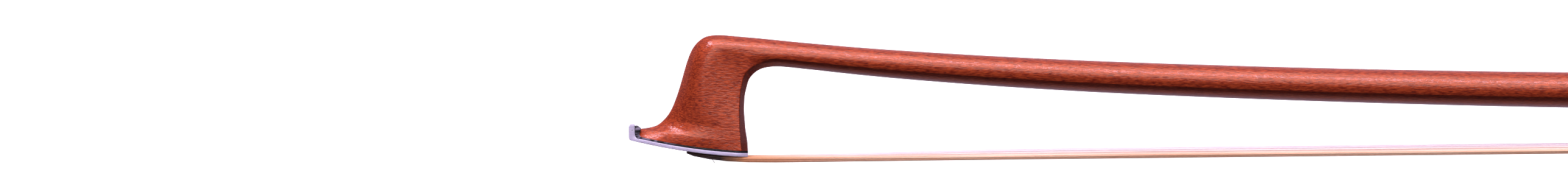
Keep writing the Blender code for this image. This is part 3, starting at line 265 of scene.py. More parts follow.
def plate_under(distance):
    """Height of the tip plate's underside, which bows down between its ends."""
    share = distance / PLATE_LENGTH
    bow = 4 * PLATE_BOW * share * (1 - share)
    return PLATE_NOSE_Z + (PLATE_BACK_Z - PLATE_NOSE_Z) * share - bow


def plate_half_width(distance):
    """Plan of the tip plate: a leaf from the narrow nose, chamfered at its back corners."""
    if distance > PLATE_LENGTH - PLATE_CORNER:
        return PLATE_HALF - PLATE_CORNER_CUT * (distance - PLATE_LENGTH + PLATE_CORNER) / PLATE_CORNER
    grown = min(1.0, max(0.0, distance / PLATE_FULL_AT)) ** 0.6
    return PLATE_NOSE_HALF + (PLATE_HALF - PLATE_NOSE_HALF) * grown


def foot_ring():
    """Foot of the head, on the liner."""
    shares = [share for share, _ in head_profile(PLATE_LENGTH, 1.0, FOOT_BEVEL, FOOT_CHAMFER)]
    foot = []
    for place, share in zip(AROUND, shares):
        distance = WOOD_FRONT + (PLATE_LENGTH - WOOD_FRONT) * share
        half_width = (plate_half_width(distance) - GLUE_GAP) * min(1.0, place, 16 - place)
        height = plate_under(distance) + PLATE_THICKNESS + LINER_THICKNESS + 2 * GLUE_GAP
        foot.append((distance, half_width, height))
    return foot + [(x, -y, z) for x, y, z in reversed(foot[1:-1])]


def finer(rows):
    """Rows with one more between each two, on the smooth curve through four of them."""
    filled = [rows[0]]
    for i in range(len(rows) - 1):
        near = [rows[max(0, min(len(rows) - 1, i + k))] for k in (-1, 0, 1, 2)]
        filled.append([(9 * (b + c) - a - d) / 16 for a, b, c, d in zip(*near)])
        filled.append(rows[i + 1])
    return filled


def stick_rings():
    """Sections from the head's foot up its ribs and along the stick to the nipple at its end."""
    rings = [foot_ring()]
    for row in finer(finer(finer(HEAD_RIBS[::-1]))):
        half_width, bevel, chamfer, grown = row[4:]
        shaped = head_profile(math.dist(row[:2], row[2:4]), half_width, bevel, chamfer)
        profile = mixed(round_profile(), shaped, grown)
        rings.append(section(row[:2], row[2:4], half_width, profile))
    head_end, (bevel, chamfer, grown) = HEAD_RIBS[0][0], HEAD_RIBS[0][5:]
    distance = head_end + FINE_STEP
    while distance < STICK_LENGTH - 0.002:
        radius, middle = stick_radius(distance), stick_middle(distance)
        left = grown * max(0.0, 1 - (distance - head_end) / HEAD_FADE)
        if left > 0:
            shaped = head_profile(2 * radius, radius, bevel, chamfer)
            ends = (distance, middle + radius), (distance, middle - radius)
            rings.append(section(*ends, radius, mixed(round_profile(), shaped, left)))
        else:
            rings.append(handle_section(distance))
        near = distance < head_end + HEAD_FADE or distance > OCTAGON_NEAR
        distance += FINE_STEP if near else COARSE_STEP
    rings += [handle_section(STICK_LENGTH - END_EASE), handle_section(STICK_LENGTH, -END_DROP)]
    for distance in (STICK_LENGTH, STICK_LENGTH + NIPPLE_LENGTH):
        ends = (distance, AXIS_Z + NIPPLE_RADIUS), (distance, AXIS_Z - NIPPLE_RADIUS)
        rings.append(section(*ends, NIPPLE_RADIUS, round_profile()))
    return rings


def skinned(rings, ends=True):
    """Skin over rings of as many points, closed round, with its ends drawn in to their middle line."""
    if ends:
        flat = [[(x, 0.0, z) for x, _, z in rings[i]] for i in (0, -1)]
        rings = [flat[0], *rings, flat[1]]
    columns = len(rings[0])
    bm = bmesh.new()
    bmesh.ops.create_grid(bm, x_segments=columns, y_segments=len(rings) - 1, size=0.5)
    bm.verts.ensure_lookup_table()
    for row, ring in enumerate(rings):
        for column in range(columns + 1):
            bm.verts[row * (columns + 1) + column].co = ring[column % columns]
    return bm


def linear(hex_colour):
    """Linear colour of an sRGB hex value."""
    channels = [int(hex_colour[i : i + 2], 16) / 255 for i in (1, 3, 5)]
    return [c / 12.92 if c <= 0.04045 else ((c + 0.055) / 1.055) ** 2.4 for c in channels] + [1.0]


def feed(tree, node, inputs):
    """Sets a node's inputs, each to a value, a socket or another node's first open output."""
    for key, value in inputs.items():
        if isinstance(value, bpy.types.Node):
            value = next(socket for socket in value.outputs if socket.enabled)
        if isinstance(value, bpy.types.NodeSocket):
            tree.links.new(value, node.inputs[key])
        else:
            node.inputs[key].default_value = value


def add(tree, kind, inputs, **settings):
    """Adds a node with its settings and its inputs."""
    made = tree.nodes.new(kind)
    for key, value in settings.items():
        setattr(made, key, value)
    feed(tree, made, inputs)
    return made


def new_finish(name, roughness, metallic=0.0, coat=0.0):
    """A material, its nodes, its shader and the place in the object that its patterns read."""
    made = bpy.data.materials.new(name)
    made.use_nodes = True
    shader = made.node_tree.nodes["Principled BSDF"]
    shader.inputs["Roughness"].default_value = roughness
    shader.inputs["Metallic"].default_value = metallic
    shader.inputs["Coat Weight"].default_value = coat
    place = add(made.node_tree, "ShaderNodeTexCoord", {}).outputs["Object"]
    return made, made.node_tree, shader, place


def piece(name, bm, finish, body, node, at=NOSE_X, sharp=50):
    """A finished piece for a CAD node, moved along the bow to its place, smooth but for real edges."""
    bmesh.ops.remove_doubles(bm, verts=bm.verts, dist=1e-6)
    bmesh.ops.recalc_face_normals(bm, faces=bm.faces)
    bmesh.ops.translate(bm, vec=(at, 0.0, 0.0), verts=bm.verts)
    mesh = bpy.data.meshes.new(name)
    bm.to_mesh(mesh)
    bm.free()
    mesh.shade_smooth()
    mesh.set_sharp_from_angle(angle=math.radians(sharp))
    mesh.materials.append(finish)
    obj = bpy.data.objects.new(name, mesh)
    scene.collection.objects.link(obj)
    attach(obj, body)
    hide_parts(node)
    return obj


def carve(obj, tool_bm):
    """Cuts a tool's shape out of a piece, and leaves no tool behind."""
    bmesh.ops.recalc_face_normals(tool_bm, faces=tool_bm.faces)
    bmesh.ops.translate(tool_bm, vec=(NOSE_X, 0.0, 0.0), verts=tool_bm.verts)
    mesh = bpy.data.meshes.new("tool")
    tool_bm.to_mesh(mesh)
    tool_bm.free()
    tool = bpy.data.objects.new("tool", mesh)
    scene.collection.objects.link(tool)
    cut = obj.modifiers.new("cut", "BOOLEAN")
    cut.solver = "EXACT"
    cut.object = tool
    bpy.context.view_layer.update()
    evaluated = obj.evaluated_get(bpy.context.evaluated_depsgraph_get())
    obj.data = bpy.data.meshes.new_from_object(evaluated)
    obj.modifiers.clear()
    bpy.data.objects.remove(tool)


def bore(radius, start, end):
    """A round tool on the handle's middle line, between two distances."""
    bm = bmesh.new()
    turn = Vector((0.0, 0.0, 1.0)).rotation_difference(Vector((1.0, 0.0, 0.0))).to_matrix().to_4x4()
    lie = Matrix.Translation(((start + end) / 2, 0.0, AXIS_Z)) @ turn
    sizes = {"segments": 32, "radius1": radius, "radius2": radius, "depth": end - start}
    bmesh.ops.create_cone(bm, cap_ends=True, matrix=lie, **sizes)
    return bm


def block(low, high):
    """A box between two corners."""
    bm = bmesh.new()
    bmesh.ops.create_cube(bm, size=1.0)
    bmesh.ops.scale(bm, vec=Vector(high) - Vector(low), verts=bm.verts)
    bmesh.ops.translate(bm, vec=(Vector(high) + Vector(low)) / 2, verts=bm.verts)
    return bm


def mortise_tool():
    """The head's mortise, which narrows upwards."""
    foot = plate_under(MORTISE_FRONT) + PLATE_THICKNESS + LINER_THICKNESS + 2 * GLUE_GAP
    half = MORTISE_HALF_LOW
    bm = block((MORTISE_FRONT, -half, 0.0), (MORTISE_BACK, half, foot + MORTISE_DEPTH))
    for vertex in bm.verts:
        if vertex.co.z > foot:
            vertex.co.y = math.copysign(MORTISE_HALF_HIGH, vertex.co.y)
    return bm


# Pernambuco under shellac: fibres that turn from dark red to orange and shine in their own colour,
# short dark pores, broader bands, and over them a clear gloss that fine ripples break up. Fibres
# are 0.02 mm wide and are drawn 0.2 mm wide and 1.2 mm long, so as to show. Faces that look down
# or back are darker with painted shade, for the shade under and behind the stick.
wood, tree, shader, place = new_finish("polished_pernambuco", 0.48, coat=0.8)
shader.inputs["IOR"].default_value = 1.65
shader.inputs["Specular IOR Level"].default_value = 1.0
shader.inputs["Specular Tint"].default_value = linear("#FF7A48")
shader.inputs["Coat Roughness"].default_value = 0.13
fibres = add(tree, "ShaderNodeMapping", {"Vector": place, "Scale": (800.0, 4800.0, 4800.0)})
fibres = add(tree, "ShaderNodeTexNoise", {"Vector": fibres, "Scale": 1.0, "Detail": 2.0})
fibres = add(tree, "ShaderNodeMapRange", {"Value": fibres, "From Min": 0.33, "From Max": 0.67})
bands = add(tree, "ShaderNodeMapping", {"Vector": place, "Scale": (30.0, 1300.0, 1300.0)})
bands = add(tree, "ShaderNodeTexNoise", {"Vector": bands, "Scale": 1.0, "Detail": 3.0})
bands = add(tree, "ShaderNodeMapRange", {"Value": bands, "From Min": 0.35, "From Max": 0.65})
pores = add(tree, "ShaderNodeMapping", {"Vector": place, "Scale": (900.0, 5200.0, 5200.0)})
pores = add(tree, "ShaderNodeTexNoise", {"Vector": pores, "Scale": 1.0, "Detail": 1.0})
pores = add(tree, "ShaderNodeMapRange", {"Value": pores, "From Min": 0.6, "From Max": 0.7, "To Max": 0.7})
fibre_ends = {6: linear("#72221A"), 7: linear("#BE5430")}
colour = add(tree, "ShaderNodeMix", {0: fibres, **fibre_ends}, data_type="RGBA")
darker = add(tree, "ShaderNodeMix", {0: 0.1, 6: colour, 7: linear("#6A2012")}, data_type="RGBA")
colour = add(tree, "ShaderNodeMix", {0: bands, 6: darker, 7: colour}, data_type="RGBA")
colour = add(tree, "ShaderNodeMix", {0: pores, 6: colour, 7: linear("#34101E")}, data_type="RGBA")
# Painted shade: faces that look down or back are mixed towards a dark colour
facing = add(tree, "ShaderNodeTexCoord", {}).outputs["Normal"]
facing = add(tree, "ShaderNodeSeparateXYZ", {"Vector": facing})
under = add(tree, "ShaderNodeMapRange", {"Value": facing.outputs["Z"], "From Min": -0.28, "From Max": -0.4})
back = add(tree, "ShaderNodeMapRange", {"Value": facing.outputs["X"], "From Min": 0.3, "From Max": 0.55})
painted_underside_shade = add(tree, "ShaderNodeMath", {0: under, 1: back}, operation="MAXIMUM")
painted_underside_shade = add(tree, "ShaderNodeMath", {0: painted_underside_shade, 1: 0.78}, operation="MULTIPLY")
colour = add(tree, "ShaderNodeMix", {0: painted_underside_shade, 6: colour, 7: linear("#2A1016")}, data_type="RGBA")
# A dark fleck on the cheek and two nicks at the back arris: places and radii
MARKS = (
    ((-0.3552, -0.00346, 0.0103), 0.00055),
    ((-0.35183, -0.00316, 0.0126), 0.0003),
    ((-0.34945, -0.00294, 0.0133), 0.0004),
)
for spot, radius in MARKS:
    near = add(tree, "ShaderNodeVectorMath", {0: place, 1: spot}, operation="DISTANCE")
    fade = {"From Min": radius, "From Max": radius / 3, "To Max": 0.55}
    near = add(tree, "ShaderNodeMapRange", {"Value": near, **fade})
    colour = add(tree, "ShaderNodeMix", {0: near, 6: colour, 7: linear("#2A1424")}, data_type="RGBA")
ripples = add(tree, "ShaderNodeMapping", {"Vector": place, "Scale": (1200.0, 3000.0, 3000.0)})
ripples = add(tree, "ShaderNodeTexNoise", {"Vector": ripples, "Scale": 1.0, "Detail": 1.0})
bump = add(tree, "ShaderNodeBump", {"Height": fibres, "Distance": 0.00001})
rippled = add(tree, "ShaderNodeBump", {"Height": ripples, "Distance": 0.000045, "Normal": bump})
feed(tree, shader, {"Base Color": colour, "Normal": bump, "Coat Normal": rippled})

stick = piece("bow_stick", skinned(stick_rings()), wood, "stick", "stick")
carve(stick, mortise_tool())
carve(stick, block((SLOT_FRONT, -SLOT_WIDTH / 2, SLOT_LOW), (SLOT_BACK, SLOT_WIDTH / 2, SLOT_HIGH)))
carve(stick, bore(BORE_RADIUS, BORE_FRONT, BORE_PAST))
carve(stick, bore(PILOT_RADIUS, SLOT_FRONT - PILOT_DEPTH, BORE_FRONT))


# Tip plate: polished bone, cut to a leaf and turned up at the nose, glued over a thin ebony
# liner. Both are pierced for the mortise that the hair leaves by.
def slab_rings(pairs, half_width, corner):
    """Sections of a thin strip from pairs of side-view points, outer and inner, with rounded edges."""
    rings = []
    for outer, inner in pairs:
        half = half_width((outer[0] + inner[0]) / 2)
        run = Vector((inner[0] - outer[0], 0.0, inner[1] - outer[1]))
        up = run.normalized()
        ring = []
        for centre, start in ((1, -90), (1, 0), (-1, 90), (-1, 180)):
            far = start in (0, 90)
            for step in range(4):
                angle = math.radians(start + step * 30)
                y = centre * (half - corner) + corner * math.cos(angle)
                base = run.length - corner if far else corner
                lift = base + corner * math.sin(angle)
                ring.append(Vector((outer[0], y, outer[1])) + up * lift)
        rings.append(ring)
    return rings


def capped(rings):
    """Skin over rings, with a face at each end."""
    bm = skinned(rings, ends=False)
    bmesh.ops.remove_doubles(bm, verts=bm.verts, dist=1e-6)
    bmesh.ops.holes_fill(bm, edges=bm.edges, sides=0)
    return bm


def along_plate(low, high):
    """Pairs of points along the plate and up to its back, between two heights over its underside."""
    first = 0.0016
    spots = [first + (PLATE_LENGTH - first) * i / 26 for i in range(1, 26)]
    pairs = [((s, plate_under(s) + low), (s + 0.0001, plate_under(s) + high)) for s in spots]
    end = plate_under(PLATE_LENGTH)
    return [*pairs, ((PLATE_LENGTH, end + low), (PLATE_LENGTH, end + high))]


# Bleached bone, scraped and polished: milky and faintly violet under this light, with fine streaks
# along the grain, soft clouds, a few dark pores and a low gloss
bone, tree, shader, place = new_finish("polished_bone", 0.3, coat=0.2)
shader.inputs["Subsurface Weight"].default_value = 0.08
shader.inputs["Subsurface Scale"].default_value = 0.0006
streaks = add(tree, "ShaderNodeMapping", {"Vector": place, "Scale": (1 / 0.005, 1 / 0.0003, 1 / 0.0003)})
streaks = add(tree, "ShaderNodeTexNoise", {"Vector": streaks, "Scale": 1.0, "Detail": 3.0, "Roughness": 0.6})
streaks = add(tree, "ShaderNodeMapRange", {"Value": streaks, "From Min": 0.35, "From Max": 0.65})
clouds = add(tree, "ShaderNodeMapping", {"Vector": place, "Scale": (1 / 0.004, 1 / 0.0025, 1 / 0.0025)})
clouds = add(tree, "ShaderNodeTexNoise", {"Vector": clouds, "Scale": 1.0, "Detail": 2.0, "Roughness": 0.6})
clouds = add(tree, "ShaderNodeMapRange", {"Value": clouds, "From Min": 0.35, "From Max": 0.65, "To Max": 0.5})
pits = add(tree, "ShaderNodeMapping", {"Vector": place, "Scale": (1 / 0.0005, 1 / 0.00016, 1 / 0.00016)})
pits = add(tree, "ShaderNodeTexNoise", {"Vector": pits, "Scale": 1.0, "Detail": 1.0, "Roughness": 0.6})
pits = add(tree, "ShaderNodeMapRange", {"Value": pits, "From Min": 0.7, "From Max": 0.76})
streak_ends = {6: linear("#CBC3E2"), 7: linear("#E0DAF0")}
colour = add(tree, "ShaderNodeMix", {0: streaks, **streak_ends}, data_type="RGBA")
colour = add(tree, "ShaderNodeMix", {0: clouds, 6: colour, 7: linear("#C2B6D2")}, data_type="RGBA")
colour = add(tree, "ShaderNodeMix", {0: pits, 6: colour, 7: linear("#6A5A58")}, data_type="RGBA")
bump = add(tree, "ShaderNodeBump", {"Height": streaks, "Distance": 0.000006})
feed(tree, shader, {"Base Color": colour, "Normal": bump})

# Outer and inner points of the side view, down the upturned nose and along the plate
plate_pairs = [
    ((0.00040, 0.00790), (0.00100, 0.00790)),
    ((0.00012, 0.00776), (0.00118, 0.00784)),
    ((0.0, 0.00745), (0.00124, 0.00760)),
    ((0.0, 0.00680), (0.00125, 0.00700)),
    ((0.0, 0.00610), (0.00126, 0.00640)),
    ((0.0, 0.00550), (0.00128, 0.00595)),
    ((0.00005, 0.00505), (0.00134, 0.00565)),
    ((0.00022, 0.00478), (0.00146, 0.00548)),
    ((0.00060, plate_under(0.0006)), (0.00165, plate_under(0.00165) + PLATE_THICKNESS)),
    *along_plate(0.0, PLATE_THICKNESS),
]
plate = capped(slab_rings(plate_pairs, plate_half_width, 0.00014))
plate = piece("bone_plate", plate, bone, "stick", "tip_plate")
carve(plate, mortise_tool())

# Ebony, oiled and burnished: nearly black, with faint brown streaks, hardly a pore and a satin gloss
ebony, tree, shader, place = new_finish("burnished_ebony", 0.32, coat=0.1)
streaks = add(tree, "ShaderNodeMapping", {"Vector": place, "Scale": (1 / 0.009, 1 / 0.0003, 1 / 0.0003)})
streaks = add(tree, "ShaderNodeTexNoise", {"Vector": streaks, "Scale": 1.0, "Detail": 4.0, "Roughness": 0.6})
streaks = add(tree, "ShaderNodeMapRange", {"Value": streaks, "From Min": 0.35, "From Max": 0.65})
pores = add(tree, "ShaderNodeMapping", {"Vector": place, "Scale": (1 / 0.0016, 1 / 0.00012, 1 / 0.00012)})
pores = add(tree, "ShaderNodeTexNoise", {"Vector": pores, "Scale": 1.0, "Detail": 2.0, "Roughness": 0.6})
pores = add(tree, "ShaderNodeMapRange", {"Value": pores, "From Min": 0.64, "From Max": 0.72})
streak_ends = {6: linear("#141012"), 7: linear("#261D1C")}
colour = add(tree, "ShaderNodeMix", {0: streaks, **streak_ends}, data_type="RGBA")
colour = add(tree, "ShaderNodeMix", {0: pores, 6: colour, 7: linear("#0A0809")}, data_type="RGBA")
bump = add(tree, "ShaderNodeBump", {"Height": streaks, "Distance": 0.00001})
feed(tree, shader, {"Base Color": colour, "Normal": bump})

# The same wood at the liner's sawn edge: near the nose torn fibres slant across it, drawn pale grey
# there as painted light on the face that turns up, and give way to black further back. They are
# drawn 0.4 mm wide, so as to show.
lining, tree, shader, place = new_finish("sawn_ebony_edge", 0.5)
slant = {"Vector": place, "Rotation": (0.0, 0.6, 0.0), "Scale": (700.0, 2500.0, 3600.0)}
slant = add(tree, "ShaderNodeMapping", slant)
slant = add(tree, "ShaderNodeTexNoise", {"Vector": slant, "Scale": 1.0, "Detail": 1.0})
slant = add(tree, "ShaderNodeMapRange", {"Value": slant, "From Min": 0.48, "From Max": 0.6})
split = add(tree, "ShaderNodeSeparateXYZ", {"Vector": place})
# Painted light: the slanting fibres near the nose are drawn pale, for light on the up-facing edge
fade = {"From Min": NOSE_X + 0.011, "From Max": NOSE_X + 0.006}
torn_fibres_painted_light = add(tree, "ShaderNodeMapRange", {"Value": split.outputs["X"], **fade})
torn_fibres_painted_light = add(tree, "ShaderNodeMath", {0: slant, 1: torn_fibres_painted_light}, operation="MULTIPLY")
torn_fibres_painted_light_ends = {6: linear("#16121A"), 7: linear("#8A8098")}
colour = add(tree, "ShaderNodeMix", {0: torn_fibres_painted_light, **torn_fibres_painted_light_ends}, data_type="RGBA")
bump = add(tree, "ShaderNodeBump", {"Height": slant, "Distance": 0.00002})
feed(tree, shader, {"Base Color": colour, "Normal": bump})

lift = PLATE_THICKNESS + GLUE_GAP
liner_pairs = [
    ((0.00131, 0.00764), (0.00180, 0.00758)),
    ((0.00131, 0.00735), (0.00222, 0.00725)),
    ((0.00132, 0.00700), (0.00246, 0.00705)),
    ((0.00133, 0.00650), (0.00238, 0.00668)),
    ((0.00136, 0.00592), (0.00228, 0.00630)),
    ((0.00148, 0.00552), (0.00222, 0.00597)),
    ((0.00180, 0.00524), (0.00224, 0.00575)),
    *along_plate(lift, lift + LINER_THICKNESS),
]
liner = capped(slab_rings(liner_pairs, lambda s: plate_half_width(s) - GLUE_GAP, 0.00008))
liner = piece("ebony_liner", liner, lining, "stick", "head_liner")
carve(liner, mortise_tool())


# Horsehair: about 170 long white hairs, combed side by side into a flat ribbon and bound at each
# end into a knot. It leaves the head's mortise flat under the plate and widens to the ferrule.
FERRULE_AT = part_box("ferrule")[0].x - NOSE_X
FERRULE_WALL = 0.0006
HAIR_THICKNESS = 0.0007
HAIR_FERRULE_HALF = 0.0056
# Distance, underside, thickness and half width of the ribbon near the head
HAIR_ROWS = (
    (0.0118, 0.00196, 0.00040, 0.0026),
    (0.0132, 0.00142, 0.00075, 0.0030),
    (0.0165, 0.00077, 0.00095, 0.0035),
    (0.0200, 0.00036, 0.00100, 0.0038),
    (0.0243, 0.00012, 0.00108, 0.0040),
    (0.0300, 0.0, 0.00112, 0.00405),
)
# Distance past the ferrule's front, and underside: over the slide, then up to the knot
HAIR_IN_FERRULE = ((0.0, FERRULE_WALL), (0.0072, 0.0008), (0.0122, 0.0019))
HAIR_RADIUS = 0.0001
HAIR_COUNT = 170
LEAN = math.radians(7.2)
LEAN_FROM, LEAN_GROWS, LEAN_FADES = 0.018, 0.070, 0.200
# A broken hair that hangs under the plate: distances and heights
BROKEN_HAIR = ((0.0170, 0.0008), (0.0173, 0.0004), (0.0175, 0.00006))
BROKEN_HAIR_Y = -0.0033


def hair_rows():
    """Rows of the whole ribbon, which widens and thins as it runs back."""
    head = HAIR_ROWS[-1]
    rows = list(HAIR_ROWS)
    for share in (0.07, 0.2, 0.4, 0.6, 0.8):
        distance = head[0] + (FERRULE_AT - head[0]) * share
        thickness = HAIR_THICKNESS + 0.00025 * (1 - share)
        half_width = head[3] + (HAIR_FERRULE_HALF - head[3]) * share
        rows.append((distance, FERRULE_WALL * share**3, thickness, half_width))
    for inside, under in HAIR_IN_FERRULE:
        rows.append((FERRULE_AT + inside, under, HAIR_THICKNESS, HAIR_FERRULE_HALF))
    return rows


def between_rows(rows, distance):
    for near, far in zip(rows, rows[1:]):
        if distance <= far[0]:
            share = (distance - near[0]) / (far[0] - near[0])
            return [a + (b - a) * share for a, b in zip(near, far)]
    return rows[-1]


def hair_lean(distance):
    """Slope across the ribbon, which leans between the head and the ferrule, where it lies flat."""
    rise, fall = (distance - LEAN_FROM) / LEAN_GROWS, (FERRULE_AT - distance) / LEAN_FADES
    return math.tan(LEAN * eased(rise) * eased(fall))


def hair_strand(rows, stations, chance):
    """Points of one hair, which wanders a little across the ribbon and through it."""
    across, depth = chance.uniform(-1, 1), chance.random()
    limits = ((0.08, 0.4), (0, 6.28), (0, 6.28))
    waves = [[chance.uniform(*pair) for pair in limits] for _ in range(3)]
    points = []
    for distance in stations:
        _, under, thickness, half_width = between_rows(rows, distance)
        swing = sum(math.sin(distance / length + first) for length, first, _ in waves) / 3
        dip = sum(math.sin(distance / length + second) for length, _, second in waves) / 3
        side = max(-1.0, min(1.0, across + 0.07 * swing))
        level = max(0.0, min(1.0, depth + 0.2 * dip))
        y = side * (half_width - HAIR_RADIUS)
        z = under + hair_lean(distance) * (y + half_width)
        z += HAIR_RADIUS + level * (thickness - 2 * HAIR_RADIUS)
        points.append((NOSE_X + distance, y, z))
    return points


def hair_ribbon():
    """The strands as one mesh, with a station wherever the ribbon bends."""
    rows = hair_rows()
    stations = [row[0] for row in rows]
    stations += [0.0182, 0.0222, 0.027] + [0.05 + 0.03 * i for i in range(21)]
    stations = sorted(s for s in stations if s <= rows[-1][0])
    chance = random.Random(4)
    lines = bpy.data.curves.new("horsehair", "CURVE")
    lines.dimensions = "3D"
    lines.bevel_depth = HAIR_RADIUS
    lines.bevel_resolution = 0
    lines.use_fill_caps = True
    for _ in range(HAIR_COUNT):
        line = lines.splines.new("POLY")
        line.points.add(len(stations) - 1)
        for point, spot in zip(line.points, hair_strand(rows, stations, chance)):
            point.co = (*spot, 1.0)
            point.radius = 0.95
    broken = lines.splines.new("POLY")
    broken.points.add(len(BROKEN_HAIR) - 1)
    for point, (distance, height) in zip(broken.points, BROKEN_HAIR):
        point.co = (NOSE_X + distance, BROKEN_HAIR_Y, height, 1.0)
        point.radius = 0.45
    bundle = bpy.data.objects.new("horsehair_lines", lines)
    scene.collection.objects.link(bundle)
    bpy.context.view_layer.update()
    evaluated = bundle.evaluated_get(bpy.context.evaluated_depsgraph_get())
    mesh = bpy.data.meshes.new_from_object(evaluated)
    bpy.data.objects.remove(bundle)
    return mesh


# White horsehair, washed and combed: a silky gloss with lengthwise streaks as wide as the hairs,
# both drawn 0.2 mm wide so as to show. Its near edge and the stretch just behind the head are
# painted tan as painted shade. Where it comes out under the plate it is painted dark as painted
# shadow, and a faint glow in its own colour is painted light, for light passing through it from behind.
horsehair, tree, shader, place = new_finish("combed_white_horsehair", 0.38, coat=0.15)
# Painted light: a faint glow in the hair's own colour, for light passing through it from behind
shader.inputs["Emission Strength"].default_value = 0.12
streaks = add(tree, "ShaderNodeMapping", {"Vector": place, "Scale": (25.0, 4500.0, 4500.0)})
streaks = add(tree, "ShaderNodeTexNoise", {"Vector": streaks, "Scale": 1.0, "Detail": 2.0})
streaks = add(tree, "ShaderNodeMapRange", {"Value": streaks, "From Min": 0.35, "From Max": 0.65})
split = add(tree, "ShaderNodeSeparateXYZ", {"Vector": place})
along, side = split.outputs["X"], split.outputs["Y"]
# Painted shade: the ribbon's near edge is drawn tan
across = add(tree, "ShaderNodeMapRange", {"Value": side, "From Min": -0.0044, "From Max": 0.0022})
pale_ends = {6: linear("#E2D0D8"), 7: linear("#F2E6EC")}
pale = add(tree, "ShaderNodeMix", {0: streaks, **pale_ends}, data_type="RGBA")
painted_shade_tan_ends = {6: linear("#E6B08A"), 7: linear("#FCD9BE")}
tan = add(tree, "ShaderNodeMix", {0: streaks, **painted_shade_tan_ends}, data_type="RGBA")
colour = add(tree, "ShaderNodeMix", {0: across, 6: tan, 7: pale}, data_type="RGBA")
# Painted shade: tan over the stretch of hair just behind the head
fade = {"From Min": NOSE_X + 0.0225, "From Max": NOSE_X + 0.045}
out_of_painted_tan = add(tree, "ShaderNodeMapRange", {"Value": along, **fade})
colour = add(tree, "ShaderNodeMix", {0: out_of_painted_tan, 6: linear("#E2A276"), 7: colour}, data_type="RGBA")
# Painted shadow: the hair is dark where it comes out under the plate
fade = {"From Min": NOSE_X + 0.0185, "From Max": NOSE_X + 0.0235}
out_of_painted_shadow = add(tree, "ShaderNodeMapRange", {"Value": along, **fade})
colour = add(tree, "ShaderNodeMix", {0: out_of_painted_shadow, 6: linear("#3A2018"), 7: colour}, data_type="RGBA")
feed(tree, shader, {"Base Color": colour, "Emission Color": colour})

ribbon_mesh = hair_ribbon()
ribbon_mesh.materials.clear()
ribbon_mesh.materials.append(horsehair)
ribbon = bpy.data.objects.new("horsehair_ribbon", ribbon_mesh)
scene.collection.objects.link(ribbon)
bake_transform(ribbon)
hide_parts("hair_ribbon")


# Knots and plugs: each end of the hair is bound with waxed thread and held in its mortise by a
# plug of plain boxwood, and a wedge of the same wood spreads the hair in the ferrule.
def dress(finish, *names):
    """Gives CAD nodes a finish."""
    for name in names:
        mesh = nodes[name].data
        mesh.materials.clear()
        mesh.materials.append(finish)


# Linen thread, drawn through red wax and wound close: a dull red with a shadow between the turns,
# which are drawn 0.5 mm wide so as to show
thread, tree, shader, place = new_finish("waxed_linen_thread", 0.6)
turns = {"Vector": place, "Scale": 640.0, "Distortion": 1.0}
turns = add(tree, "ShaderNodeTexWave", turns, bands_direction="Z").outputs["Fac"]
turn_ends = {6: linear("#5E1A14"), 7: linear("#9A3226")}
colour = add(tree, "ShaderNodeMix", {0: turns, **turn_ends}, data_type="RGBA")
bump = add(tree, "ShaderNodeBump", {"Height": turns, "Distance": 0.00005})
feed(tree, shader, {"Base Color": colour, "Normal": bump})
dress(thread, "head_hair_knot", "frog_hair_knot")

# Boxwood, planed and left raw: an even, matt yellow with fine straight fibres 0.2 mm wide
boxwood, tree, shader, place = new_finish("planed_boxwood", 0.5)
fibres = add(tree, "ShaderNodeMapping", {"Vector": place, "Scale": (1 / 0.006, 1 / 0.0002, 1 / 0.0002)})
fibres = add(tree, "ShaderNodeTexNoise", {"Vector": fibres, "Scale": 1.0, "Detail": 3.0, "Roughness": 0.6})
fibres = add(tree, "ShaderNodeMapRange", {"Value": fibres, "From Min": 0.35, "From Max": 0.65})
fibre_ends = {6: linear("#B8924F"), 7: linear("#D3AE6C")}
colour = add(tree, "ShaderNodeMix", {0: fibres, **fibre_ends}, data_type="RGBA")
bump = add(tree, "ShaderNodeBump", {"Height": fibres, "Distance": 0.00001})
feed(tree, shader, {"Base Color": colour, "Normal": bump})
dress(boxwood, "head_plug", "frog_plug", "ferrule_wedge")


# Lapping: two flat strips of imitation whalebone, one dark and one light, wound side by side
# round the handle in front of the leather.
LEATHER_START, LEATHER_END = (corner.x - NOSE_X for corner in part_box("thumb_leather"))
LAPPING_PITCH = 0.0024
LAPPING_TURNS = 24
LAPPING_STEPS = 32
STRIP_WIDTH = 0.00105
STRIP_TO_LEATHER = 0.0006
SEAT_GAP = 0.0001
# Section of a strip, with a slightly crowned face: share of its width, and millimetres outwards
STRIP_SHAPE = (
    (-0.50, 0.12), (-0.42, 0.0), (0.42, 0.0), (0.50, 0.12), (0.50, 0.36),
    (0.36, 0.44), (0.0, 0.48), (-0.36, 0.44), (-0.50, 0.36),
)  # fmt: skip
LAPPING_START = LEATHER_START - STRIP_TO_LEATHER - (LAPPING_TURNS + 0.5) * LAPPING_PITCH - STRIP_WIDTH


def lapping_rings(start):
    """Sections of a strip, turn by turn."""
    rings = []
    for i in range(LAPPING_TURNS * LAPPING_STEPS + 1):
        angle = 2 * math.pi * i / LAPPING_STEPS
        distance = start + LAPPING_PITCH * i / LAPPING_STEPS
        inner = stick_radius(distance) + SEAT_GAP
        ring = []
        for side, rise in STRIP_SHAPE:
            along = distance + side * STRIP_WIDTH
            radius = inner + rise * 0.001
            ring.append((along, radius * math.sin(angle), stick_middle(along) + radius * math.cos(angle)))
        rings.append(ring)
    return rings


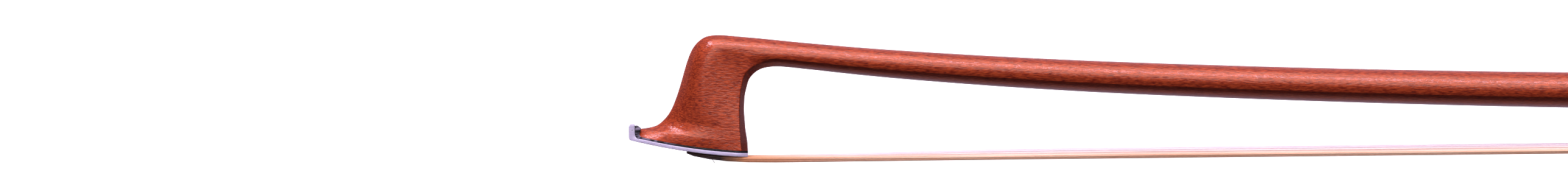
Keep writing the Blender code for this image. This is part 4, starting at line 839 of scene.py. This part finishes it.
# Horn-like plastic, scraped thin: fine streaks 0.2 mm wide across the strip, soft clouds and a
# smooth gloss
for shade, low, high, start in (
    ("dark", "#17110F", "#33261F", LAPPING_START),
    ("light", "#CDB586", "#E6D3AC", LAPPING_START + LAPPING_PITCH / 2),
):
    strip, tree, shader, place = new_finish(f"scraped_lapping_{shade}", 0.34, coat=0.15)
    streaks = add(tree, "ShaderNodeMapping", {"Vector": place, "Scale": (1 / 0.0002, 1 / 0.003, 1 / 0.003)})
    streaks = {"Vector": streaks, "Scale": 1.0, "Detail": 3.0, "Roughness": 0.6}
    streaks = add(tree, "ShaderNodeTexNoise", streaks)
    streaks = add(tree, "ShaderNodeMapRange", {"Value": streaks, "From Min": 0.35, "From Max": 0.65})
    clouds = add(tree, "ShaderNodeMapping", {"Vector": place, "Scale": (1 / 0.012, 1 / 0.008, 1 / 0.008)})
    clouds = {"Vector": clouds, "Scale": 1.0, "Detail": 2.0, "Roughness": 0.6}
    clouds = add(tree, "ShaderNodeTexNoise", clouds)
    clouds = {"Value": clouds, "From Min": 0.35, "From Max": 0.65, "To Max": 0.35}
    clouds = add(tree, "ShaderNodeMapRange", clouds)
    streak_ends = {6: linear(low), 7: linear(high)}
    colour = add(tree, "ShaderNodeMix", {0: streaks, **streak_ends}, data_type="RGBA")
    colour = add(tree, "ShaderNodeMix", {0: clouds, 6: colour, 7: linear(low)}, data_type="RGBA")
    bump = add(tree, "ShaderNodeBump", {"Height": streaks, "Distance": 0.000008})
    feed(tree, shader, {"Base Color": colour, "Normal": bump})
    wound = capped(lapping_rings(start))
    piece(f"lapping_{shade}", wound, strip, "stick", f"winding_strip_{shade}", sharp=60)


# Thumb leather: a sleeve of brown goatskin between the lapping and the frog, glued round the
# stick, with its ends pared thin.
LEATHER_ROUNDNESS = 0.35
LEATHER_RISE = 0.00084
PARED = 0.0026
# Distance from the pared edge, and rise over the stick
LEATHER_EDGE = ((0.0, 0.0004), (0.0006, 0.00062), (0.0014, 0.00078), (PARED, LEATHER_RISE))


def leather_rings():
    """Sections along the leather's outside, faintly rippled, and back along its inside."""
    length = LEATHER_END - LEATHER_START
    spots = list(LEATHER_EDGE)
    spots += [(PARED + (length - 2 * PARED) * i / 24, LEATHER_RISE) for i in range(1, 24)]
    spots += [(length - along, rise) for along, rise in reversed(LEATHER_EDGE)]
    rings = []
    for along, rise in spots:
        ripple = 0.00003 * math.sin(along * 2600) * (rise > 0.0008)
        rings.append(handle_section(LEATHER_START + along, rise + ripple, LEATHER_ROUNDNESS))
    for along in (length, length * 0.75, length * 0.5, length * 0.25, 0.0):
        rings.append(handle_section(LEATHER_START + along, SEAT_GAP))
    return rings + [rings[0]]


# Goatskin, tanned, dyed and glued on: pebbles 0.4 mm wide with dark creases between them, a dull
# gloss and paler worn patches
leather, tree, shader, place = new_finish("goatskin", 0.52)
cells = {"Vector": place, "Scale": 2400.0}
cells = add(tree, "ShaderNodeTexVoronoi", cells, feature="DISTANCE_TO_EDGE").outputs["Distance"]
pebbles = add(tree, "ShaderNodeMapRange", {"Value": cells, "From Max": 0.25})
wear = add(tree, "ShaderNodeMapping", {"Vector": place, "Scale": (1 / 0.004, 1 / 0.002, 1 / 0.002)})
wear = add(tree, "ShaderNodeTexNoise", {"Vector": wear, "Scale": 1.0, "Detail": 3.0, "Roughness": 0.6})
wear = add(tree, "ShaderNodeMapRange", {"Value": wear, "From Min": 0.35, "From Max": 0.65, "To Max": 0.4})
pebble_ends = {6: linear("#2A1610"), 7: linear("#5A3323")}
colour = add(tree, "ShaderNodeMix", {0: pebbles, **pebble_ends}, data_type="RGBA")
colour = add(tree, "ShaderNodeMix", {0: wear, 6: colour, 7: linear("#6E4330")}, data_type="RGBA")
bump = add(tree, "ShaderNodeBump", {"Height": pebbles, "Distance": 0.00006})
feed(tree, shader, {"Base Color": colour, "Normal": bump})
sleeve = skinned(leather_rings(), ends=False)
piece("goatskin_grip", sleeve, leather, "stick", "thumb_leather", sharp=70)


# Frog: carved from one block of ebony, with a hollowed throat and cheeks, bedded to the stick's
# three lower flats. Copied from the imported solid, with its edges eased as by a fine file.
def refined(node, name, finish, ease, limit=34):
    """A copy of a CAD node, with each edge sharper than the limit in degrees rounded."""
    bm = bmesh.new()
    bm.from_mesh(nodes[node].data)
    bmesh.ops.remove_doubles(bm, verts=bm.verts, dist=1e-6)
    bmesh.ops.dissolve_limit(bm, angle_limit=math.radians(0.5), verts=bm.verts, edges=bm.edges)
    inner = [edge for edge in bm.edges if len(edge.link_faces) == 2]
    crisp = [edge for edge in inner if edge.calc_face_angle() > math.radians(limit)]
    rounding = {"offset": ease, "segments": 2, "profile": 0.5, "affect": "EDGES", "material": -1}
    bmesh.ops.bevel(bm, geom=crisp, clamp_overlap=True, **rounding)
    made = piece(name, bm, finish, nodes[node]["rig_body"], node, at=0.0, sharp=limit)
    # The flats keep their own normals, so that only the rounded edges catch the light
    flats = made.modifiers.new("flat_faces", "WEIGHTED_NORMAL")
    flats.weight = 100
    flats.keep_sharp = True
    return made


refined("frog_body", "carved_frog", ebony, 0.00012)


# Silver: ferrule, heel plates, their pins, the slide's backing, the rings round the eyes, the
# underslide and the button's collars, all hammered or turned, then burnished by hand.
# It is bright, with hairline scratches drawn 0.08 mm wide, and warmer and duller where tarnished.
silver, tree, shader, place = new_finish("burnished_silver", 0.24, metallic=1.0)
scratches = {"Vector": place, "Scale": (1 / 0.006, 1 / 0.00008, 1 / 0.00008)}
scratches = add(tree, "ShaderNodeMapping", scratches)
scratches = {"Vector": scratches, "Scale": 1.0, "Detail": 3.0, "Roughness": 0.6}
scratches = add(tree, "ShaderNodeTexNoise", scratches)
scratches = add(tree, "ShaderNodeMapRange", {"Value": scratches, "From Min": 0.35, "From Max": 0.65})
tarnish = add(tree, "ShaderNodeMapping", {"Vector": place, "Scale": (1 / 0.005, 1 / 0.003, 1 / 0.003)})
tarnish = add(tree, "ShaderNodeTexNoise", {"Vector": tarnish, "Scale": 1.0, "Detail": 3.0, "Roughness": 0.6})
tarnish = add(tree, "ShaderNodeMapRange", {"Value": tarnish, "From Min": 0.35, "From Max": 0.65})
scratch_ends = {6: linear("#C9C5C1"), 7: linear("#E4E1DE")}
colour = add(tree, "ShaderNodeMix", {0: scratches, **scratch_ends}, data_type="RGBA")
film = add(tree, "ShaderNodeMath", {0: tarnish, 1: 0.4}, operation="MULTIPLY")
colour = add(tree, "ShaderNodeMix", {0: film, 6: colour, 7: linear("#A79C8C")}, data_type="RGBA")
rough = add(tree, "ShaderNodeMapRange", {"Value": tarnish, "To Min": 0.2, "To Max": 0.36})
bump = add(tree, "ShaderNodeBump", {"Height": scratches, "Distance": 0.000004})
feed(tree, shader, {"Base Color": colour, "Roughness": rough, "Normal": bump})
for node, ease in (
    ("ferrule", 0.00012),
    ("heel_plate_lower", 0.0001),
    ("heel_plate_back", 0.0001),
    ("slide_backing", 0.00005),
    ("underslide", 0.00006),
    ("heel_pin_left", 0.00008),
    ("heel_pin_right", 0.00008),
    ("heel_pin_back", 0.00008),
    ("eye_ring_left", 0.00008),
    ("eye_ring_right", 0.00008),
    ("button_front_collar", 0.00012),
    ("button_rear_collar", 0.00012),
):
    refined(node, f"silver_{node}", silver, ease)


# Mother-of-pearl: the slide in the frog's foot, the two eyes and the button's eye, sawn from
# shell and polished, so bands of green and rose drift under a clear gloss.
# Its layers, about 2 mm apart, ripple through it, and a thin film's colours drift over them.
pearl, tree, shader, place = new_finish("mother_of_pearl", 0.16, coat=0.6)
shader.inputs["Thin Film Thickness"].default_value = 420.0
shader.inputs["Thin Film IOR"].default_value = 1.5
drift = add(tree, "ShaderNodeMapping", {"Vector": place, "Scale": (1 / 0.0035, 1 / 0.0022, 1 / 0.0022)})
drift = add(tree, "ShaderNodeTexNoise", {"Vector": drift, "Scale": 1.0, "Detail": 2.0, "Roughness": 0.6})
drift = add(tree, "ShaderNodeMapRange", {"Value": drift, "From Min": 0.25, "From Max": 0.75})
layers = {"Vector": place, "Scale": 160.0, "Distortion": 9.0, "Detail": 3.0, "Detail Scale": 1.4}
layers = add(tree, "ShaderNodeTexWave", layers, bands_direction="DIAGONAL").outputs["Fac"]
drift_ends = {6: linear("#BFD2C6"), 7: linear("#E3C9D2")}
colour = add(tree, "ShaderNodeMix", {0: drift, **drift_ends}, data_type="RGBA")
colour = add(tree, "ShaderNodeMix", {0: layers, 6: colour, 7: linear("#E6EAE4")}, data_type="RGBA")
bump = add(tree, "ShaderNodeBump", {"Height": layers, "Distance": 0.000004})
feed(tree, shader, {"Base Color": colour, "Normal": bump})
for node in ("pearl_slide", "eye_pearl_left", "eye_pearl_right", "button_pearl_eye"):
    refined(node, f"shell_{node}", pearl, 0.00006)


# Screw and eyelet: a steel screw runs along the stick's bore and through a brass eyelet that is
# let into the frog. Two small steel screws hold the underslide.
# The steel is turned bright: cool grey, with the tool's rings drawn 0.1 mm wide.
steel, tree, shader, place = new_finish("turned_steel", 0.28, metallic=1.0)
rings = add(tree, "ShaderNodeMapping", {"Vector": place, "Scale": (1 / 0.0001, 1 / 0.004, 1 / 0.004)})
rings = add(tree, "ShaderNodeTexNoise", {"Vector": rings, "Scale": 1.0, "Detail": 2.0, "Roughness": 0.6})
rings = add(tree, "ShaderNodeMapRange", {"Value": rings, "From Min": 0.35, "From Max": 0.65})
ring_ends = {6: linear("#8D9094"), 7: linear("#B4B7BA")}
colour = add(tree, "ShaderNodeMix", {0: rings, **ring_ends}, data_type="RGBA")
bump = add(tree, "ShaderNodeBump", {"Height": rings, "Distance": 0.00001})
feed(tree, shader, {"Base Color": colour, "Normal": bump})
for node in ("screw", "underslide_screw_front", "underslide_screw_rear"):
    refined(node, f"steel_{node}", steel, 0.00006)

# Brass, drawn and turned: warm yellow, with drag marks along it drawn 0.2 mm wide
brass, tree, shader, place = new_finish("turned_brass", 0.3, metallic=1.0)
drags = add(tree, "ShaderNodeMapping", {"Vector": place, "Scale": (1 / 0.002, 1 / 0.0002, 1 / 0.0002)})
drags = add(tree, "ShaderNodeTexNoise", {"Vector": drags, "Scale": 1.0, "Detail": 2.0, "Roughness": 0.6})
drags = add(tree, "ShaderNodeMapRange", {"Value": drags, "From Min": 0.35, "From Max": 0.65})
drag_ends = {6: linear("#A97D38"), 7: linear("#D2A556")}
colour = add(tree, "ShaderNodeMix", {0: drags, **drag_ends}, data_type="RGBA")
bump = add(tree, "ShaderNodeBump", {"Height": drags, "Distance": 0.000006})
feed(tree, shader, {"Base Color": colour, "Normal": bump})
refined("eyelet", "brass_eyelet", brass, 0.00008)


# Button core: a block of ebony, filed to eight flats and bored for the screw's tang, which it is
# pressed on. It is held between the two silver collars.
refined("button_core", "ebony_button_core", ebony, 0.00008)


# Studio: a white light table, a tall softbox above and before the bow, a narrow violet tube in
# front of that for the line along the stick, a small softbox up to the left of the head, and a
# pale backdrop. It is dark low in front, as the polish underneath shows.
table = bpy.data.meshes.new("light_table")
top = bmesh.new()
bmesh.ops.create_grid(top, x_segments=1, y_segments=1, size=40.0)
top.to_mesh(table)
top.free()
acrylic, _, shader, _ = new_finish("lit_white_acrylic", 0.6)
shader.inputs["Base Color"].default_value = linear("#F4F4F4")
shader.inputs["Emission Color"].default_value = (1.0, 1.0, 1.0, 1.0)
shader.inputs["Emission Strength"].default_value = 1.0
table.materials.append(acrylic)
floor = bpy.data.objects.new("light_table", table)
floor.visible_diffuse = False
floor.visible_glossy = False
scene.collection.objects.link(floor)

# Direction from the target, distance, width, height, watts and colour
target = Vector((-0.34007, 0.0, 0.0130))
for name, towards, distance, width, height, watts, tint in (
    ("softbox", (0.0, -0.67, 0.74), 2.4, 1.6, 3.6, 57.0, (1.0, 0.94, 0.87)),
    ("strip_light", (0.0, -0.643, 0.766), 2.2, 1.6, 0.12, 13.0, (0.85, 0.74, 1.0)),
    ("side_softbox", (-0.42, -0.48, 0.78), 2.2, 0.45, 0.45, 15.0, (0.9, 0.8, 1.0)),
):
    source = bpy.data.lights.new(name, "AREA")
    source.shape = "RECTANGLE"
    source.size = width
    source.size_y = height
    source.energy = watts
    source.color = tint
    lamp = bpy.data.objects.new(name, source)
    towards = Vector(towards).normalized()
    aim = towards.to_track_quat("Z", "Y").to_matrix().to_4x4()
    lamp.matrix_world = Matrix.Translation(target + towards * distance) @ aim
    lamp.visible_camera = False
    scene.collection.objects.link(lamp)

# The room: pale behind the bow, dim before and above it, dark at both ends and low in front. The
# camera itself sees only white.
world = bpy.data.worlds.new("surroundings")
world.use_nodes = True
tree = world.node_tree
scene.world = world
direction = add(tree, "ShaderNodeTexCoord", {}).outputs["Generated"]
split = add(tree, "ShaderNodeSeparateXYZ", {"Vector": direction})
sides = add(tree, "ShaderNodeMath", {0: split.outputs["X"]}, operation="ABSOLUTE")
sides = add(tree, "ShaderNodeMapRange", {"Value": sides, "From Min": 0.7, "From Max": 0.3})
above = add(tree, "ShaderNodeMapRange", {"Value": split.outputs["Z"], "From Min": -0.18, "From Max": 0.15})
lit = add(tree, "ShaderNodeMath", {0: sides, 1: above}, operation="MULTIPLY")
front_ends = {6: (0.012, 0.01, 0.014, 1.0), 7: (0.4, 0.37, 0.5, 1.0)}
front = add(tree, "ShaderNodeMix", {0: lit, **front_ends}, data_type="RGBA")
behind = add(tree, "ShaderNodeMapRange", {"Value": split.outputs["Y"], "From Min": -0.4, "From Max": 0.3})
around = {0: behind, 6: front, 7: (0.65, 0.58, 0.74, 1.0)}
around = add(tree, "ShaderNodeMix", around, data_type="RGBA")
seen = add(tree, "ShaderNodeLightPath", {}).outputs["Is Camera Ray"]
shown = add(tree, "ShaderNodeMix", {0: seen, 6: around, 7: (1.0, 1.0, 1.0, 1.0)}, data_type="RGBA")
feed(tree, tree.nodes["Background"], {"Color": shown})

# Camera: square to the bow and a little above it, far off, as the photograph was taken. It is
# rolled a little, because the bow lies askew in the photograph's frame.
DISTANCE = 1.3
FRAME_WIDTH = 0.3204
ROLL = math.radians(-0.607)
tilt = math.radians(3)
back = Vector((0.0, -math.cos(tilt), math.sin(tilt)))
view = bpy.data.cameras.new("camera")
view.sensor_width = 36.0
view.lens = view.sensor_width * DISTANCE / FRAME_WIDTH
view.clip_start = 0.01
view.clip_end = 200.0
camera = bpy.data.objects.new("camera", view)
turned = (-back).to_track_quat("-Z", "Y").to_matrix().to_4x4() @ Matrix.Rotation(ROLL, 4, "Z")
camera.matrix_world = Matrix.Translation(target + back * DISTANCE) @ turned
scene.collection.objects.link(camera)
scene.camera = camera
scene.view_settings.view_transform = "Standard"
scene.view_settings.gamma = 0.9
